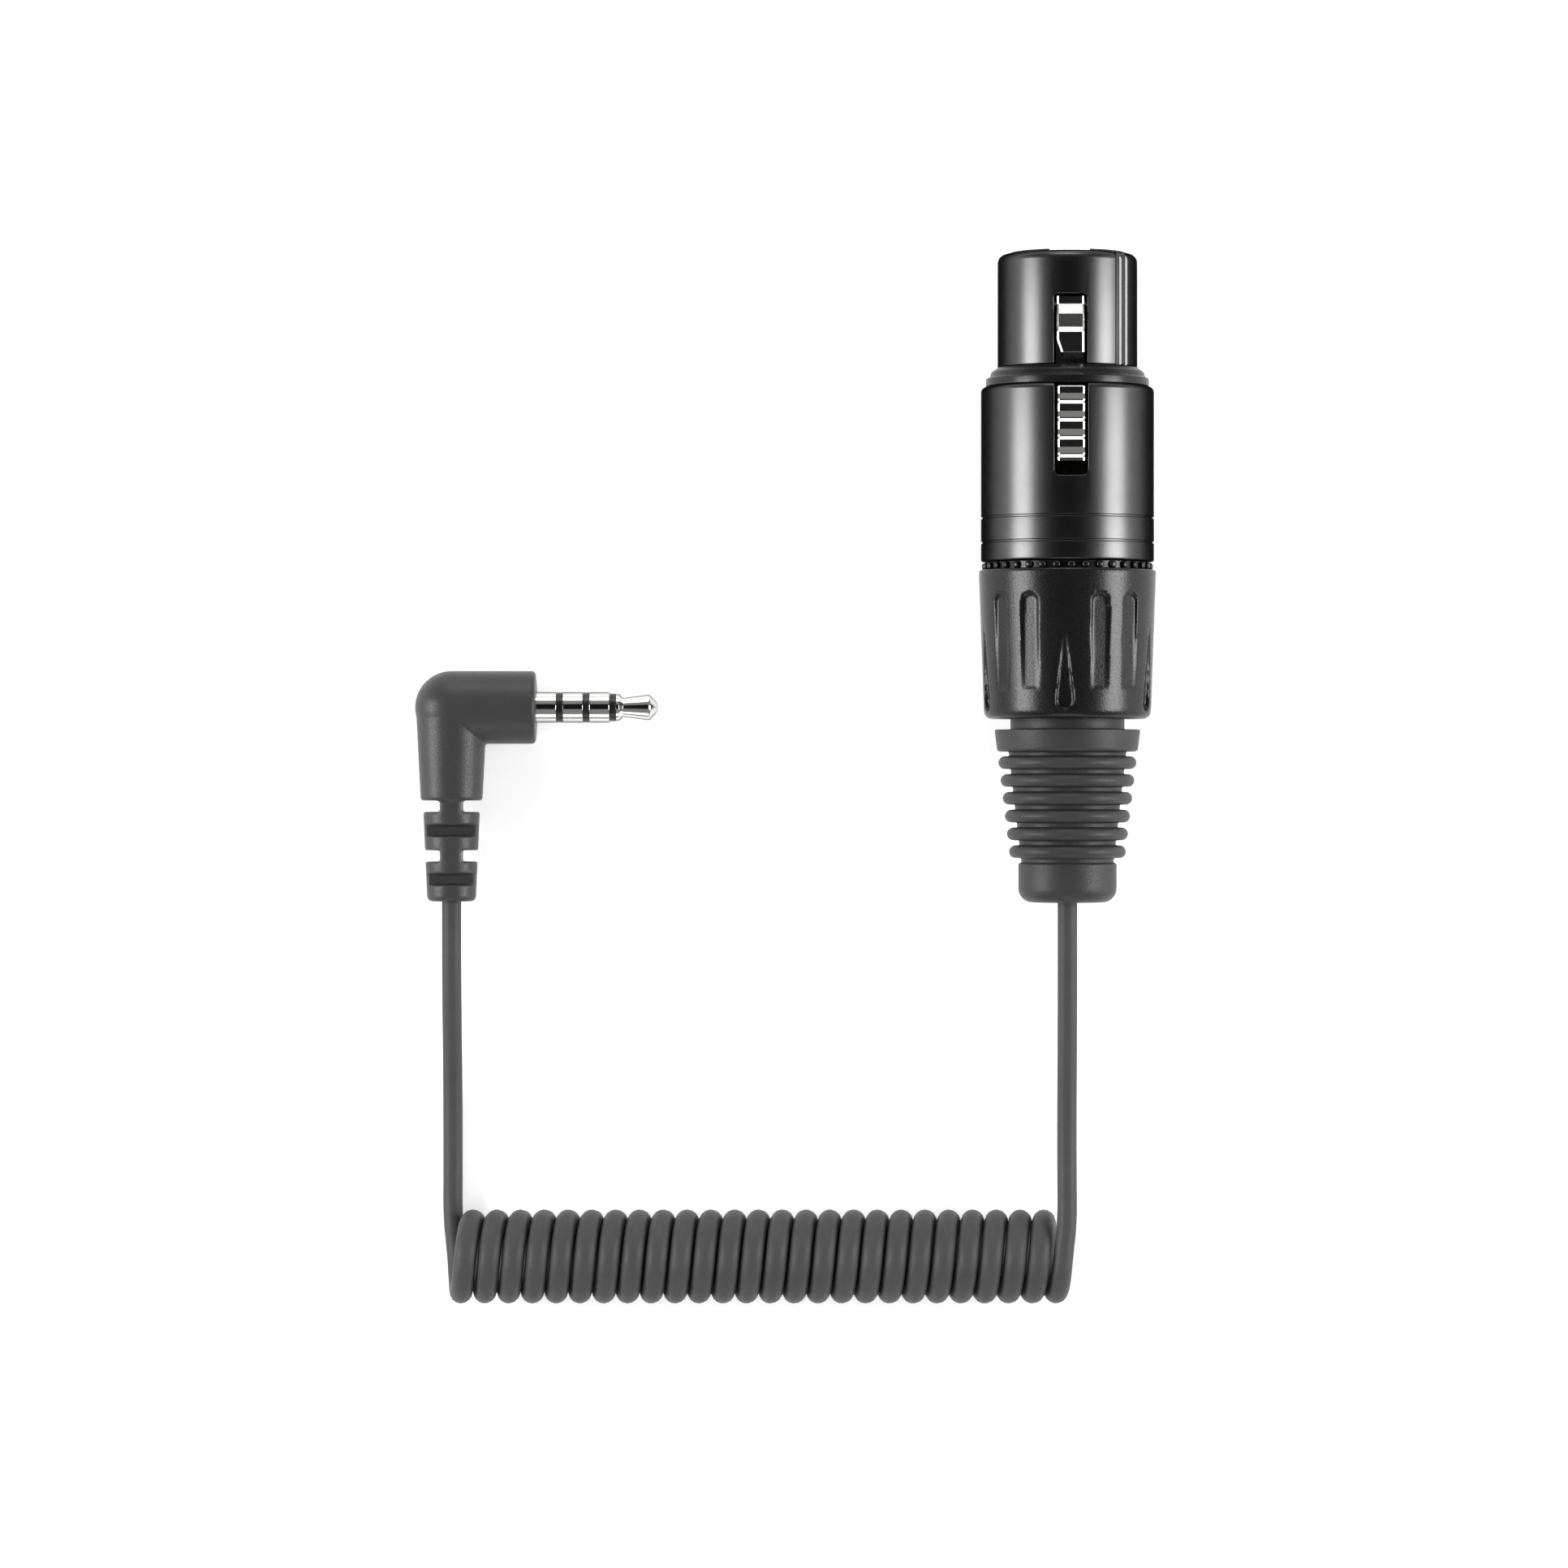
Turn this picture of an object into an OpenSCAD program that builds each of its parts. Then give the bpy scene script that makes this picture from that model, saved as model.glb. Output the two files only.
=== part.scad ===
// Coiled adapter cable: a three-pole XLR cable socket, a curly cord and an angled 3.5 mm four-pole plug.
// It lies flat. X runs from plug to plug, Y along the two connectors, Z up. Lengths are in millimetres.

/* [XLR shell] */
// Diameter of the nose that goes into a panel socket's shell
nose_d = 15.9; // [15.6:0.05:16.2]
// Length of the nose, up to the collar ring
nose_len = 12.9; // [12.5:0.1:14]
// Corner radius at the front of the nose
nose_round = 1; // [0.4:0.1:1.5]
// Bore of the nose
nose_bore_d = 13.8; // [13.4:0.1:14]
// Diameter of the body behind the collar ring
body_d = 19.7; // [19.2:0.1:20]
// Length of the body, from the collar ring to its rear edge
body_len = 19.9; // [19:0.1:24]
// Wall of the body round its bore, which holds the insert's flange and the chuck
body_wall = 1.65; // [1.5:0.05:2]
// Corner radius at the front and the rear of the body
body_round = 0.6; // [0.2:0.1:1]
// Depth of the two fine grooves round the body
groove_depth = 0.15; // [0.05:0.05:0.3]
// Wall of the threaded spigot that the back nut screws on
spigot_wall = 0.7; // [0.6:0.05:0.8]
// Length of the threaded spigot
spigot_len = 8; // [6:0.5:9]

/* [Collar ring] */
// Width of the ring between nose and body
collar_w = 2.2; // [1.8:0.1:2.6]
// Outer diameter of the ring
collar_d = 19; // [18:0.1:19.4]
// Diameter of the shell's seat under the ring
collar_seat_d = 15; // [14.8:0.1:15.2]

/* [Insert and contacts] */
// How far the insert's lip stands proud of the nose
lip = 0.2; // [0.1:0.05:0.4]
// Circle on which the three contacts stand
contact_circle_d = 7.62; // [7.4:0.02:7.8]
// Bore of a contact, for a 2.4 mm pin
contact_bore_d = 2.44; // [2.42:0.01:2.5]
// Depth of a contact's bore
contact_bore_len = 10; // [8:0.5:11]
// Outside diameter of a contact
contact_d = 3.3; // [3.1:0.1:3.4]
// Angle of the key rib round the nose, from the latch
key_angle = 47; // [40:1:55]
// Width of the key rib
key_w = 1.5; // [1.2:0.1:1.8]

/* [Latch] */
// Width of the latch lever
latch_w = 3.2; // [2.8:0.1:3.4]
// Distance of the latch's pivot from the front of the nose
pivot_z = 5.9; // [5.8:0.05:6.2]
// Diameter of the pivot pin
pivot_d = 0.8; // [0.6:0.05:0.9]
// Height of the hook's crest above the axis
hook_top = 8.4; // [8.2:0.05:8.5]
// Spacing of the press tab's four ridges
ridge_pitch = 2.06; // [1.9:0.02:2.1]

/* [Back nut] */
// How much wider than the body the back nut is at its front
nut_step = 0.5; // [0.3:0.1:1]
// How much narrower the back nut is at its rear
nut_taper = 1.14; // [0.8:0.02:1.5]
// Length of the back nut
nut_len = 17; // [16.5:0.1:20]
// Width of the toothed ring in front of the nut
toothed_w = 0.9; // [0.6:0.1:1.2]
// Number of teeth on the ring
tooth_count = 36; // [24:2:48]
// Number of groups of flutes round the nut, two slots and a drop in each
flute_groups = 5; // [4:1:5]
// Width of a flute
flute_w = 2.05; // [1.6:0.05:2.2]

/* [Boot] */
// Length of the narrow neck that shows between nut and boot
neck_len = 1.2; // [0.8:0.1:2]
// Diameter of the boot's neck
neck_d = 13; // [12.6:0.1:13.2]
// Width of the boot's front flange
flange_w = 2.5; // [2:0.1:3]
// Diameter of the boot's front flange
flange_d = 16.6; // [15.5:0.1:17]
// Number of ribs on the boot
rib_count = 6; // [3:1:8]
// Spacing of the ribs
rib_pitch = 2.03; // [1.9:0.01:2.3]
// Thickness of a rib
rib_w = 1.53; // [1.2:0.01:1.6]
// Length of the cup at the boot's rear end
cup_len = 4.52; // [3.5:0.01:6]
// Diameter of the cup at the boot's rear end
cup_d = 11.2; // [10:0.1:11.5]

/* [Angled plug] */
// Distance from cord to cord, which sets the two connectors apart
cord_span = 70.5; // [60:0.5:90]
// Diameter of the moulding round the plug pin
plug_d = 8.4; // [7.8:0.1:9]
// Reach of the moulding from the cord's axis to its face
plug_reach = 9.7; // [9.5:0.1:12]
// Diameter of the moulding's stem where it ends
stem_d = 7.1; // [6.6:0.1:7.6]
// Length of the stem, from the pin's axis to the strain relief
stem_len = 10.7; // [10.2:0.1:12]
// Length of the cut strain relief
relief_len = 11.6; // [11.2:0.1:13]
// Thickness of the webs that the strain relief's cuts leave
web_w = 2.4; // [2.2:0.1:2.6]
// Diameter of the plug pin
pin_d = 3.5; // [3.4:0.05:3.6]
// Length of the plug pin
pin_len = 14; // [14:0.5:15]
// Length of the pin's sleeve in front of the moulding
sleeve_len = 2.35; // [2:0.05:2.6]
// Length of each of the pin's two rings
ring_len = 2.3; // [2:0.05:2.4]
// Width of the insulating rings between them
gap_w = 0.75; // [0.6:0.05:0.9]
// How far the tip's rod reaches back into the moulding
pin_root = 8.2; // [7.6:0.1:8.4]

/* [Curly cord] */
// Diameter of the cord
cord_d = 2.2; // [2:0.1:2.2]
// Radius of the curls, at the middle of the cord
curl_r = 4.1; // [3.9:0.1:4.1]
// Number of turns; half a turn more than a whole number
curl_turns = 25.5; // [21.5:1:25.5]

/* [Hidden] */
$fn = 48;

// Clearance of pieces that are pushed together, and of pieces that turn or slide
fit = 0.03;
run_fit = 0.05;
// Small length by which a cut passes the surface that it cuts
past = 0.1;

// Diameters that follow from the body's
body_bore_d = body_d - 2 * body_wall;
spigot_d = body_bore_d + 2 * spigot_wall;
nut_d = body_d + nut_step;
nut_rear_d = nut_d - nut_taper;

// Stations along the XLR connector, from the front of the nose
z_collar = nose_len;
z_body = z_collar + collar_w;
z_rear = z_body + body_len;
z_nut = z_rear + toothed_w;
z_nut_end = z_nut + nut_len;
z_flange = z_nut_end + neck_len;
z_ribs = z_flange + flange_w;
rib_gap = rib_pitch - rib_w;
z_cup = z_ribs + rib_gap + rib_count * rib_pitch;
z_boot_end = z_cup + cup_len;
z_spigot_end = z_rear + spigot_len;

// Where the two connectors lie: the box round both is centred on the origin and stands on Z = 0
xlr_x = (cord_span + plug_d / 2 - nut_d / 2) / 2;
xlr_z = nut_d / 2;
nose_y = (z_boot_end - lip) / 2;
plug_x = xlr_x - cord_span;
boot_end_y = nose_y - z_boot_end;
plug_y = boot_end_y + stem_len + relief_len;
plug_z = plug_d / 2;

// Insert: a plug in the nose and a flange in the body
insert_r = nose_bore_d / 2 - fit;
insert_flange_z = z_body + 1.4;
insert_rear_z = insert_flange_z + 2.5;
channel_w = latch_w + 0.6;
channel_floor = 4.2;

// Latch: a lever on a cross pin at its front end
pivot_y = 5.9;
lever_eye_r = 0.85;
neck_top = collar_seat_d / 2 - 0.35;
neck_bottom = neck_top - 1;
tab_front = z_body + 0.25;
tab_rear = tab_front + 4 * ridge_pitch + 0.35;
window_rear = tab_rear + 1.6;
nose_window_front = pivot_z - lever_eye_r - 0.05;

// Back nut's inside: thread, cone on the chuck's fingers, groove for the boot's bead, neck hole
nut_bore_r = spigot_d / 2 + run_fit;
bead_r = neck_d / 2 + 0.8;
bead_w = 1.6;
lip_w = 1.5;
bead_z = z_nut_end - lip_w - bead_w - 0.1;
chuck_end_z = bead_z - 0.3;
// How much the chuck's fingers narrow towards their ends
cone_in = 1.7;

// Cord routes, chosen by hand: from each connector's end to the tail of the curls
right_tail = [32.08, -75.51, 9.55];
cord_right_route = [
    [32.3, -37, 10.1], [32.3, -41, 10.1], [32.3, -45, 10.1], [32.3, -49, 9.98],
    [32.3, -53, 9.65], [32.3, -57, 9.2], [32.3, -61, 8.85], [32.3, -65, 8.8],
    [32.3, -69, 9.1], [32.3, -72, 9.45], [32.195, -74.415, 9.55], right_tail
];
left_tail = [-37.98, -75.51, 1.35];
cord_left_route = [
    [-38.2, -37, 4.2], [-38.2, -41, 4.2], [-38.2, -45, 4.05], [-38.2, -49, 3.45],
    [-38.2, -53, 2.6], [-38.2, -57, 1.85], [-38.2, -61, 1.4], [-38.2, -65, 1.2],
    [-38.2, -69, 1.2], [-38.2, -72, 1.3], [-38.095, -74.415, 1.35], left_tail
];
// The curls wind to the left about a line along X, from the low tail to the high one
curl_start_x = -37.75;
curl_end_x = 31.85;
curl_axis_y = -77.7;
curl_axis_z = 5.45;
rings_per_curl = 8;

function unit(v) = v / norm(v);
function heading(p, i) = unit(p[min(i + 1, len(p) - 1)] - p[max(i - 1, 0)]);

// A point of the helix after the given number of turns
function curl_point(turns) = [
    curl_start_x + (curl_end_x - curl_start_x) * turns / curl_turns,
    curl_axis_y - curl_r * sin(360 * turns),
    curl_axis_z - curl_r * cos(360 * turns)
];
function curl_line(steps) = concat(
    [left_tail],
    [for (i = [0 : curl_turns * steps]) curl_point(i / steps)],
    [right_tail]
);
// Least distance between points of the curls that lie more than half a turn apart, less the cord
function least_gap(p, steps) = min([
    for (i = [0 : len(p) - 1])
        for (j = [i + floor(steps / 2) + 1 : min(i + 2 * steps, len(p) - 1)])
            norm(p[i] - p[j])
]) - cord_d;
echo(curl_gap_mm = least_gap(curl_line(16), 16));

// A tube of flat sides along a line of points; its sides are laid out from the given direction
module tube(p, d, sides, side_dir) {
    n = len(p);
    points = [
        for (i = [0 : n - 1])
            let (t = heading(p, i), u = unit(cross(t, side_dir)), v = cross(t, u))
                for (k = [0 : sides - 1])
                    p[i] + d / 2 * (cos(360 * k / sides) * u + sin(360 * k / sides) * v)
    ];
    walls = [
        for (i = [0 : n - 2])
            for (k = [0 : sides - 1])
                let (a = i * sides + k, b = i * sides + (k + 1) % sides)
                    each [[a, b, b + sides], [a, b + sides, a + sides]]
    ];
    last = (n - 1) * sides;
    caps = [
        for (k = [1 : sides - 2])
            each [[0, k + 1, k], [last, last + k, last + k + 1]]
    ];
    polyhedron(points, concat(walls, caps));
}

// The XLR connector's frame: its axis is Z, from the nose back, and the latch is on +Y
module xlr_frame() {
    translate([xlr_x, nose_y, xlr_z])
        rotate([90, 0, 0])
            children();
}

// The plug pin's frame: its axis is Z, towards the tip
module pin_frame() {
    translate([plug_x, plug_y, plug_z])
        rotate([0, 90, 0])
            children();
}

// The plug stem's frame: its axis is Z, towards the cord
module stem_frame() {
    translate([plug_x, plug_y, plug_z])
        rotate([90, 0, 0])
            children();
}

// A ring about Z between two radii and two heights
module ring(r_in, r_out, z0, z1) {
    difference() {
        translate([0, 0, z0])
            cylinder(r = r_out, h = z1 - z0);
        translate([0, 0, z0 - past])
            cylinder(r = r_in, h = z1 - z0 + 2 * past);
    }
}

// Half the section of a drum with rounded edges, for turning about Z
module drum_section(r, z0, z1, round_0, round_1) {
    translate([0, z0 + round_0])
        square([r, z1 - z0 - round_0 - round_1]);
    translate([0, z0])
        square([r - round_0, round_0 + past]);
    translate([r - round_0, z0 + round_0])
        circle(r = round_0);
    translate([0, z1 - round_1 - past])
        square([r - round_1, round_1 + past]);
    translate([r - round_1, z1 - round_1])
        circle(r = round_1);
}

// A plate of the latch's width whose outline is given as [distance from the nose, height]
module side_plate(width) {
    rotate([0, -90, 0])
        linear_extrude(height = width, center = true)
            children();
}

// A slot through the top of the shell, with rounded corners at its front and at its rear
module latch_slot(width, z0, z1, round_0, round_1) {
    rotate([-90, 0, 0])
        linear_extrude(height = body_d)
            mirror([0, 1])
                translate([-width / 2, z0]) {
                    translate([0, round_0])
                        square([width, z1 - z0 - round_0 - round_1]);
                    translate([round_0, 0])
                        square([width - 2 * round_0, round_0 + past]);
                    translate([round_1, z1 - z0 - round_1 - past])
                        square([width - 2 * round_1, round_1 + past]);
                    for (side = [0, 1]) {
                        translate([round_0 + side * (width - 2 * round_0), round_0])
                            circle(r = round_0);
                        translate([round_1 + side * (width - 2 * round_1), z1 - z0 - round_1])
                            circle(r = round_1);
                    }
                }
}

// Where the contacts stand: two beside the middle and one opposite the latch
function contact_place(i) = contact_circle_d / 2 * [[-1, 0], [1, 0], [0, -1]][i];

module shell() {
    color("#1d1d1f")
        xlr_frame()
            difference() {
                rotate_extrude()
                    difference() {
                        union() {
                            drum_section(nose_d / 2, 0, z_collar, nose_round, 0.15);
                            translate([0, z_collar - past])
                                square([collar_seat_d / 2, collar_w + 2 * past]);
                            drum_section(body_d / 2, z_body, z_rear, body_round, 0.25);
                            translate([0, z_rear - past])
                                square([spigot_d / 2, spigot_len + past]);
                        }
                        translate([0, -past])
                            square([nose_bore_d / 2, insert_flange_z + past]);
                        translate([0, insert_flange_z])
                            square([body_bore_d / 2, z_spigot_end - insert_flange_z + past]);
                        for (from_rear = [5.1, 2.3])
                            translate([body_d / 2 - groove_depth, z_rear - from_rear])
                                square([1, 0.25]);
                    }
                latch_slot(channel_w, nose_window_front, window_rear, 0.45, 0.65);
                rotate([0, 0, -key_angle])
                    translate([-key_w / 2 - fit, 0, -past])
                        cube([key_w + 2 * fit, nose_d, z_collar + past]);
            }
}

module collar_ring() {
    color("#2b2b2c")
        xlr_frame()
            rotate_extrude()
                polygon([
                    [collar_seat_d / 2 + fit, z_collar + fit],
                    [nose_d / 2 + 0.1, z_collar + fit],
                    [collar_d / 2, z_collar + 0.5 * collar_w],
                    [collar_d / 2, z_body - 0.1],
                    [collar_d / 2 - 0.1, z_body - fit],
                    [collar_seat_d / 2 + fit, z_body - fit]
                ]);
}

module insert() {
    cavity_d = contact_d + 2 * fit;
    color("#161617")
        xlr_frame()
            difference() {
                union() {
                    cylinder(r = insert_r, h = insert_rear_z);
                    translate([0, 0, insert_flange_z + fit])
                        cylinder(r = body_bore_d / 2 - fit, h = insert_rear_z - insert_flange_z - fit);
                    difference() {
                        ring(insert_r - 1.5, insert_r - 0.4, -lip, past);
                        cube([4.6, body_d, 1], center = true);
                    }
                    rotate([0, 0, -key_angle])
                        translate([-key_w / 2, insert_r - 1, 0.25])
                            cube([key_w, nose_d / 2 - 0.1 - insert_r + 1, z_collar - 0.25 - fit]);
                }
                translate([-channel_w / 2, channel_floor, nose_window_front - 0.2])
                    cube([channel_w, body_d, insert_rear_z]);
                for (i = [0 : 2])
                    translate(contact_place(i)) {
                        translate([0, 0, -1])
                            cylinder(d = contact_bore_d + 0.5, h = insert_rear_z + 2);
                        translate([0, 0, 1])
                            cylinder(d = cavity_d, h = insert_rear_z);
                        translate([0, 0, contact_bore_len + 2.95])
                            cylinder(d = cavity_d + 0.5, h = insert_rear_z);
                    }
                translate([0, pivot_y, pivot_z])
                    rotate([0, 90, 0])
                        cylinder(d = pivot_d + 2 * fit, h = 5.6, center = true);
                translate([-1.1, -body_d, insert_flange_z - past])
                    cube([2.2, body_d - 7.2, insert_rear_z]);
            }
}

module contact(i) {
    shoulder_z = contact_bore_len + 3;
    cup_end = insert_rear_z + 4;
    color("#c9a24a")
        xlr_frame()
            translate(contact_place(i))
                difference() {
                    union() {
                        translate([0, 0, 1 + fit])
                            cylinder(d = contact_d, h = shoulder_z);
                        translate([0, 0, shoulder_z])
                            cylinder(d = contact_d + 0.5, h = 1);
                        translate([0, 0, shoulder_z])
                            cylinder(d = contact_d - 0.7, h = cup_end - shoulder_z);
                    }
                    cylinder(d = contact_bore_d, h = 1 + contact_bore_len);
                    translate([-0.15, -contact_d, 0])
                        cube([0.3, contact_d, 0.7 * contact_bore_len]);
                    translate([0, 0, cup_end - 3.5])
                        cylinder(d = contact_d - 1.5, h = 4);
                    translate([-contact_d, 0.3, cup_end - 3])
                        cube([2 * contact_d, contact_d, 4]);
                }
}

// Outline of the latch lever behind its eye: hook, neck under the collar ring, tab with its ridges
module lever_outline() {
    ramp = pivot_z + 0.5;
    tab_top = body_d / 2 - 0.35;
    ridge_z = [for (i = [0 : 3]) tab_front + (i + 1) * ridge_pitch];
    polygon(concat(
        [
            [pivot_z, pivot_y - lever_eye_r + 0.1], [pivot_z, pivot_y + lever_eye_r - 0.1],
            [pivot_z + 0.2, nose_d / 2 - 0.95], [ramp, nose_d / 2 - 0.9],
            [ramp + 0.9, hook_top - 0.3], [ramp + 2.4, hook_top],
            [ramp + 2.9, hook_top - 0.15], [z_collar - 1.4, nose_d / 2 - 0.35],
            [z_collar - 0.9, nose_d / 2 - 0.65], [z_collar - 0.8, neck_top],
            [tab_front - 0.15, neck_top], [tab_front, tab_top - 0.5],
            [tab_front + 0.2, tab_top]
        ],
        [
            for (z = ridge_z)
                each [
                    [z - 1.25, tab_top], [z - 0.6, tab_top - 0.25],
                    [z - 0.3, tab_top + 0.4], [z, tab_top + 0.4], [z + 0.15, tab_top]
                ]
        ],
        [
            [tab_rear, tab_top - 0.1], [tab_rear, tab_top - 1.2],
            [tab_front + 0.9, tab_top - 1.2], [tab_front + 0.6, neck_bottom],
            [z_collar - 1, neck_bottom], [ramp + 1, pivot_y - lever_eye_r + 0.2]
        ]
    ));
}

module latch_lever() {
    color("#c8cacc")
        xlr_frame()
            difference() {
                union() {
                    side_plate(latch_w)
                        lever_outline();
                    translate([0, pivot_y, pivot_z])
                        rotate([0, 90, 0])
                            cylinder(r = lever_eye_r, h = latch_w, center = true);
                }
                translate([0, pivot_y, pivot_z])
                    rotate([0, 90, 0])
                        cylinder(d = pivot_d + 2 * run_fit, h = latch_w + 1, center = true);
            }
}

module latch_pin() {
    color("#a9abad")
        xlr_frame()
            translate([0, pivot_y, pivot_z])
                rotate([0, 90, 0])
                    cylinder(d = pivot_d, h = 5.5, center = true);
}

module latch_spring() {
    leaf = 0.25;
    foot_z = nose_window_front + 4;
    tip_z = foot_z + 5.6;
    tip_y = neck_bottom - 0.03;
    color("#b9bcc0")
        xlr_frame()
            side_plate(latch_w - 0.6)
                polygon([
                    [foot_z, channel_floor + fit], [foot_z + 3, channel_floor + fit],
                    [tip_z + 0.2, tip_y - leaf], [tip_z + 0.2, tip_y], [tip_z, tip_y],
                    [foot_z + 2.9, channel_floor + fit + leaf], [foot_z, channel_floor + fit + leaf]
                ]);
}

module ground_clip() {
    leaf = 0.25;
    foot_y = -7.2 - fit;
    front = insert_flange_z + 0.2;
    rear = insert_rear_z - 0.2;
    middle = (front + rear) / 2;
    crest_y = -body_bore_d / 2 + fit;
    color("#b08a4a")
        xlr_frame()
            side_plate(2)
                polygon([
                    [front, foot_y], [rear, foot_y], [rear, foot_y - leaf],
                    [middle + 0.3, crest_y], [middle - 0.3, crest_y], [front, foot_y - leaf]
                ]);
}

module chuck() {
    tube_r = body_bore_d / 2 - 0.5;
    wall = 1.15;
    clamp_r = cord_d / 2 + fit;
    tip_r = tube_r - cone_in;
    color("#d8d5cc")
        xlr_frame()
            difference() {
                rotate_extrude()
                    polygon([
                        [tube_r - wall, insert_rear_z + fit], [tube_r, insert_rear_z + fit],
                        [tube_r, z_spigot_end], [tip_r, chuck_end_z], [clamp_r, chuck_end_z],
                        [clamp_r, chuck_end_z - 3], [tube_r - wall, z_spigot_end - 3]
                    ]);
                translate([-body_d / 2, 4.5, insert_rear_z - past])
                    cube([body_d, body_d, window_rear + 0.8 - insert_rear_z]);
                for (a = [45, 135])
                    rotate([0, 0, a])
                        translate([-body_d, -0.4, z_spigot_end - 1.5])
                            cube([2 * body_d, 0.8, body_d]);
            }
}

// Three soldered wires, from the contacts' cups to the end of the jacket
module xlr_wire(i) {
    place = contact_place(i);
    out = unit([place[0], place[1], 0]);
    side = cross(out, [0, 0, 1]);
    cup_r = contact_circle_d / 2;
    start_z = insert_rear_z + 0.7;
    end_z = z_spigot_end - 3.5;
    function at(r, z) = [out[0] * r, out[1] * r, z];
    color(["#8d8f92", "#8e2320", "#b9b9b6"][i])
        xlr_frame()
            tube([
                at(cup_r, start_z), at(cup_r, start_z + 4.5), at(cup_r - 0.3, start_z + 7),
                at(cup_r - 1.2, start_z + 10), at(1.6, start_z + 14), at(0.8, end_z - 2),
                at(0.65, end_z)
            ], 0.9, 8, side);
}

// The cord's end inside the connector, from the wires to the boot's end
module xlr_jacket() {
    color("#3c3c3e")
        xlr_frame()
            translate([0, 0, z_spigot_end - 3.5 + fit])
                cylinder(d = cord_d, h = z_boot_end - z_spigot_end + 3.5 - fit);
}

// A straight groove for a finger, cut in from outside: deep at one end and fading out at the other
module slot_cut() {
    tilt = 0.8;
    depth = 0.5;
    length = 10.2;
    translate([0, nut_d / 2 - depth, z_nut + 2.85])
        rotate([-90 - tilt, 0, 0])
            translate([0, -flute_w / 2, 0])
                linear_extrude(height = 3) {
                    circle(d = flute_w);
                    translate([-flute_w / 2, -length])
                        square([flute_w, length]);
                }
}

module drop_cut() {
    tilt = 6.4;
    depth = 0.55;
    length = 8.8;
    end_z = z_nut_end - 0.95;
    translate([0, nut_rear_d / 2 - depth, end_z])
        rotate([-90 + tilt, 0, 0])
            translate([0, flute_w / 2, 0])
                linear_extrude(height = 3) {
                    circle(d = flute_w);
                    polygon([[-flute_w / 2, 0], [flute_w / 2, 0], [0, length]]);
                }
}

module back_nut() {
    corner = 1.1;
    step = 360 / flute_groups;
    slot_angle = step / 3;
    color("#1b1b1c")
        xlr_frame()
            difference() {
                rotate_extrude()
                    difference() {
                        union() {
                            polygon([
                                [0, z_nut], [nut_d / 2 - 0.15, z_nut], [nut_d / 2, z_nut + 0.15],
                                [nut_rear_d / 2, z_nut_end - corner], [0, z_nut_end - corner]
                            ]);
                            drum_section(nut_rear_d / 2, z_nut_end - 3, z_nut_end, 0.5, corner);
                        }
                        translate([0, z_nut - past])
                            square([nut_bore_r, z_spigot_end + 1 - z_nut + past]);
                        polygon([
                            [0, z_spigot_end + 0.9], [body_bore_d / 2 - 0.2, z_spigot_end + 0.9],
                            [body_bore_d / 2 - 0.2 - cone_in, chuck_end_z + 0.1], [0, bead_z]
                        ]);
                        translate([0, chuck_end_z])
                            square([bead_r + 0.1, z_nut_end - lip_w - chuck_end_z]);
                        translate([0, z_nut_end - lip_w - past])
                            square([neck_d / 2 + 0.1, lip_w + 2 * past]);
                    }
                for (g = [0 : flute_groups - 1])
                    rotate([0, 0, g * step + 4.3]) {
                        drop_cut();
                        for (a = [-slot_angle, slot_angle])
                            rotate([0, 0, a])
                                slot_cut();
                    }
            }
}

module toothed_ring() {
    tooth_r = nut_d / 2 - 0.4;
    root_r = (nut_bore_r + tooth_r) / 2;
    tooth_w = 3.1416 * tooth_r / tooth_count;
    color("#2a2a2b")
        xlr_frame() {
            ring(nut_bore_r, root_r, z_rear + run_fit, z_nut);
            for (i = [0 : tooth_count - 1])
                rotate([0, 0, 360 * i / tooth_count])
                    translate([nut_bore_r + past, -tooth_w / 2, z_rear + 0.2])
                        cube([tooth_r - nut_bore_r - past, tooth_w, toothed_w - 0.2]);
        }
}

module boot() {
    cavity_r = 4;
    exit_r = cord_d / 2 + 0.15;
    rib_r_first = flange_d / 2 - 0.45;
    rib_r_last = cup_d / 2 + 1.05;
    taper = (rib_r_first - rib_r_last) / max(rib_count - 1, 1);
    core_0 = flange_d / 2 - 1.6;
    core_1 = cup_d / 2 - 0.35;
    color("#4b4b4d")
        xlr_frame()
            rotate_extrude()
                difference() {
                    union() {
                        translate([0, bead_z])
                            square([bead_r, bead_w]);
                        translate([0, bead_z])
                            square([neck_d / 2, z_flange - bead_z + past]);
                        polygon([
                            [0, z_flange], [flange_d / 2, z_flange],
                            [flange_d / 2 - 0.3, z_ribs - 0.3], [flange_d / 2 - 0.6, z_ribs],
                            [core_0, z_ribs], [core_1, z_cup], [0, z_cup]
                        ]);
                        for (i = [0 : rib_count - 1]) {
                            rib_z = z_ribs + rib_gap + (i + 0.5) * rib_pitch - rib_gap / 2;
                            rib_r = rib_r_first - i * taper;
                            translate([0, rib_z - rib_w / 2])
                                square([rib_r - rib_w / 2, rib_w]);
                            translate([rib_r - rib_w / 2, rib_z])
                                circle(d = rib_w);
                        }
                        drum_section(cup_d / 2, z_cup, z_boot_end, 0.3, 1.6);
                    }
                    translate([0, bead_z - past])
                        square([exit_r, z_boot_end - bead_z + 2 * past]);
                    translate([0, bead_z - past])
                        square([cavity_r, z_cup - 1 - bead_z]);
                }
}

// Steps along the plug pin, from the cord's axis: where each ring of the pin starts
pin_face = plug_reach;
sleeve_end = pin_face + sleeve_len;
ring_2_end = sleeve_end + gap_w + ring_len;
ring_1_end = ring_2_end + gap_w + ring_len;
tip_start = ring_1_end + gap_w;
pin_tip = pin_face + pin_len;
stem_cavity_r = plug_d / 2 - 1.8;
core_start = pin_face - 3.1;
core_end = pin_face - 0.8;
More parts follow.
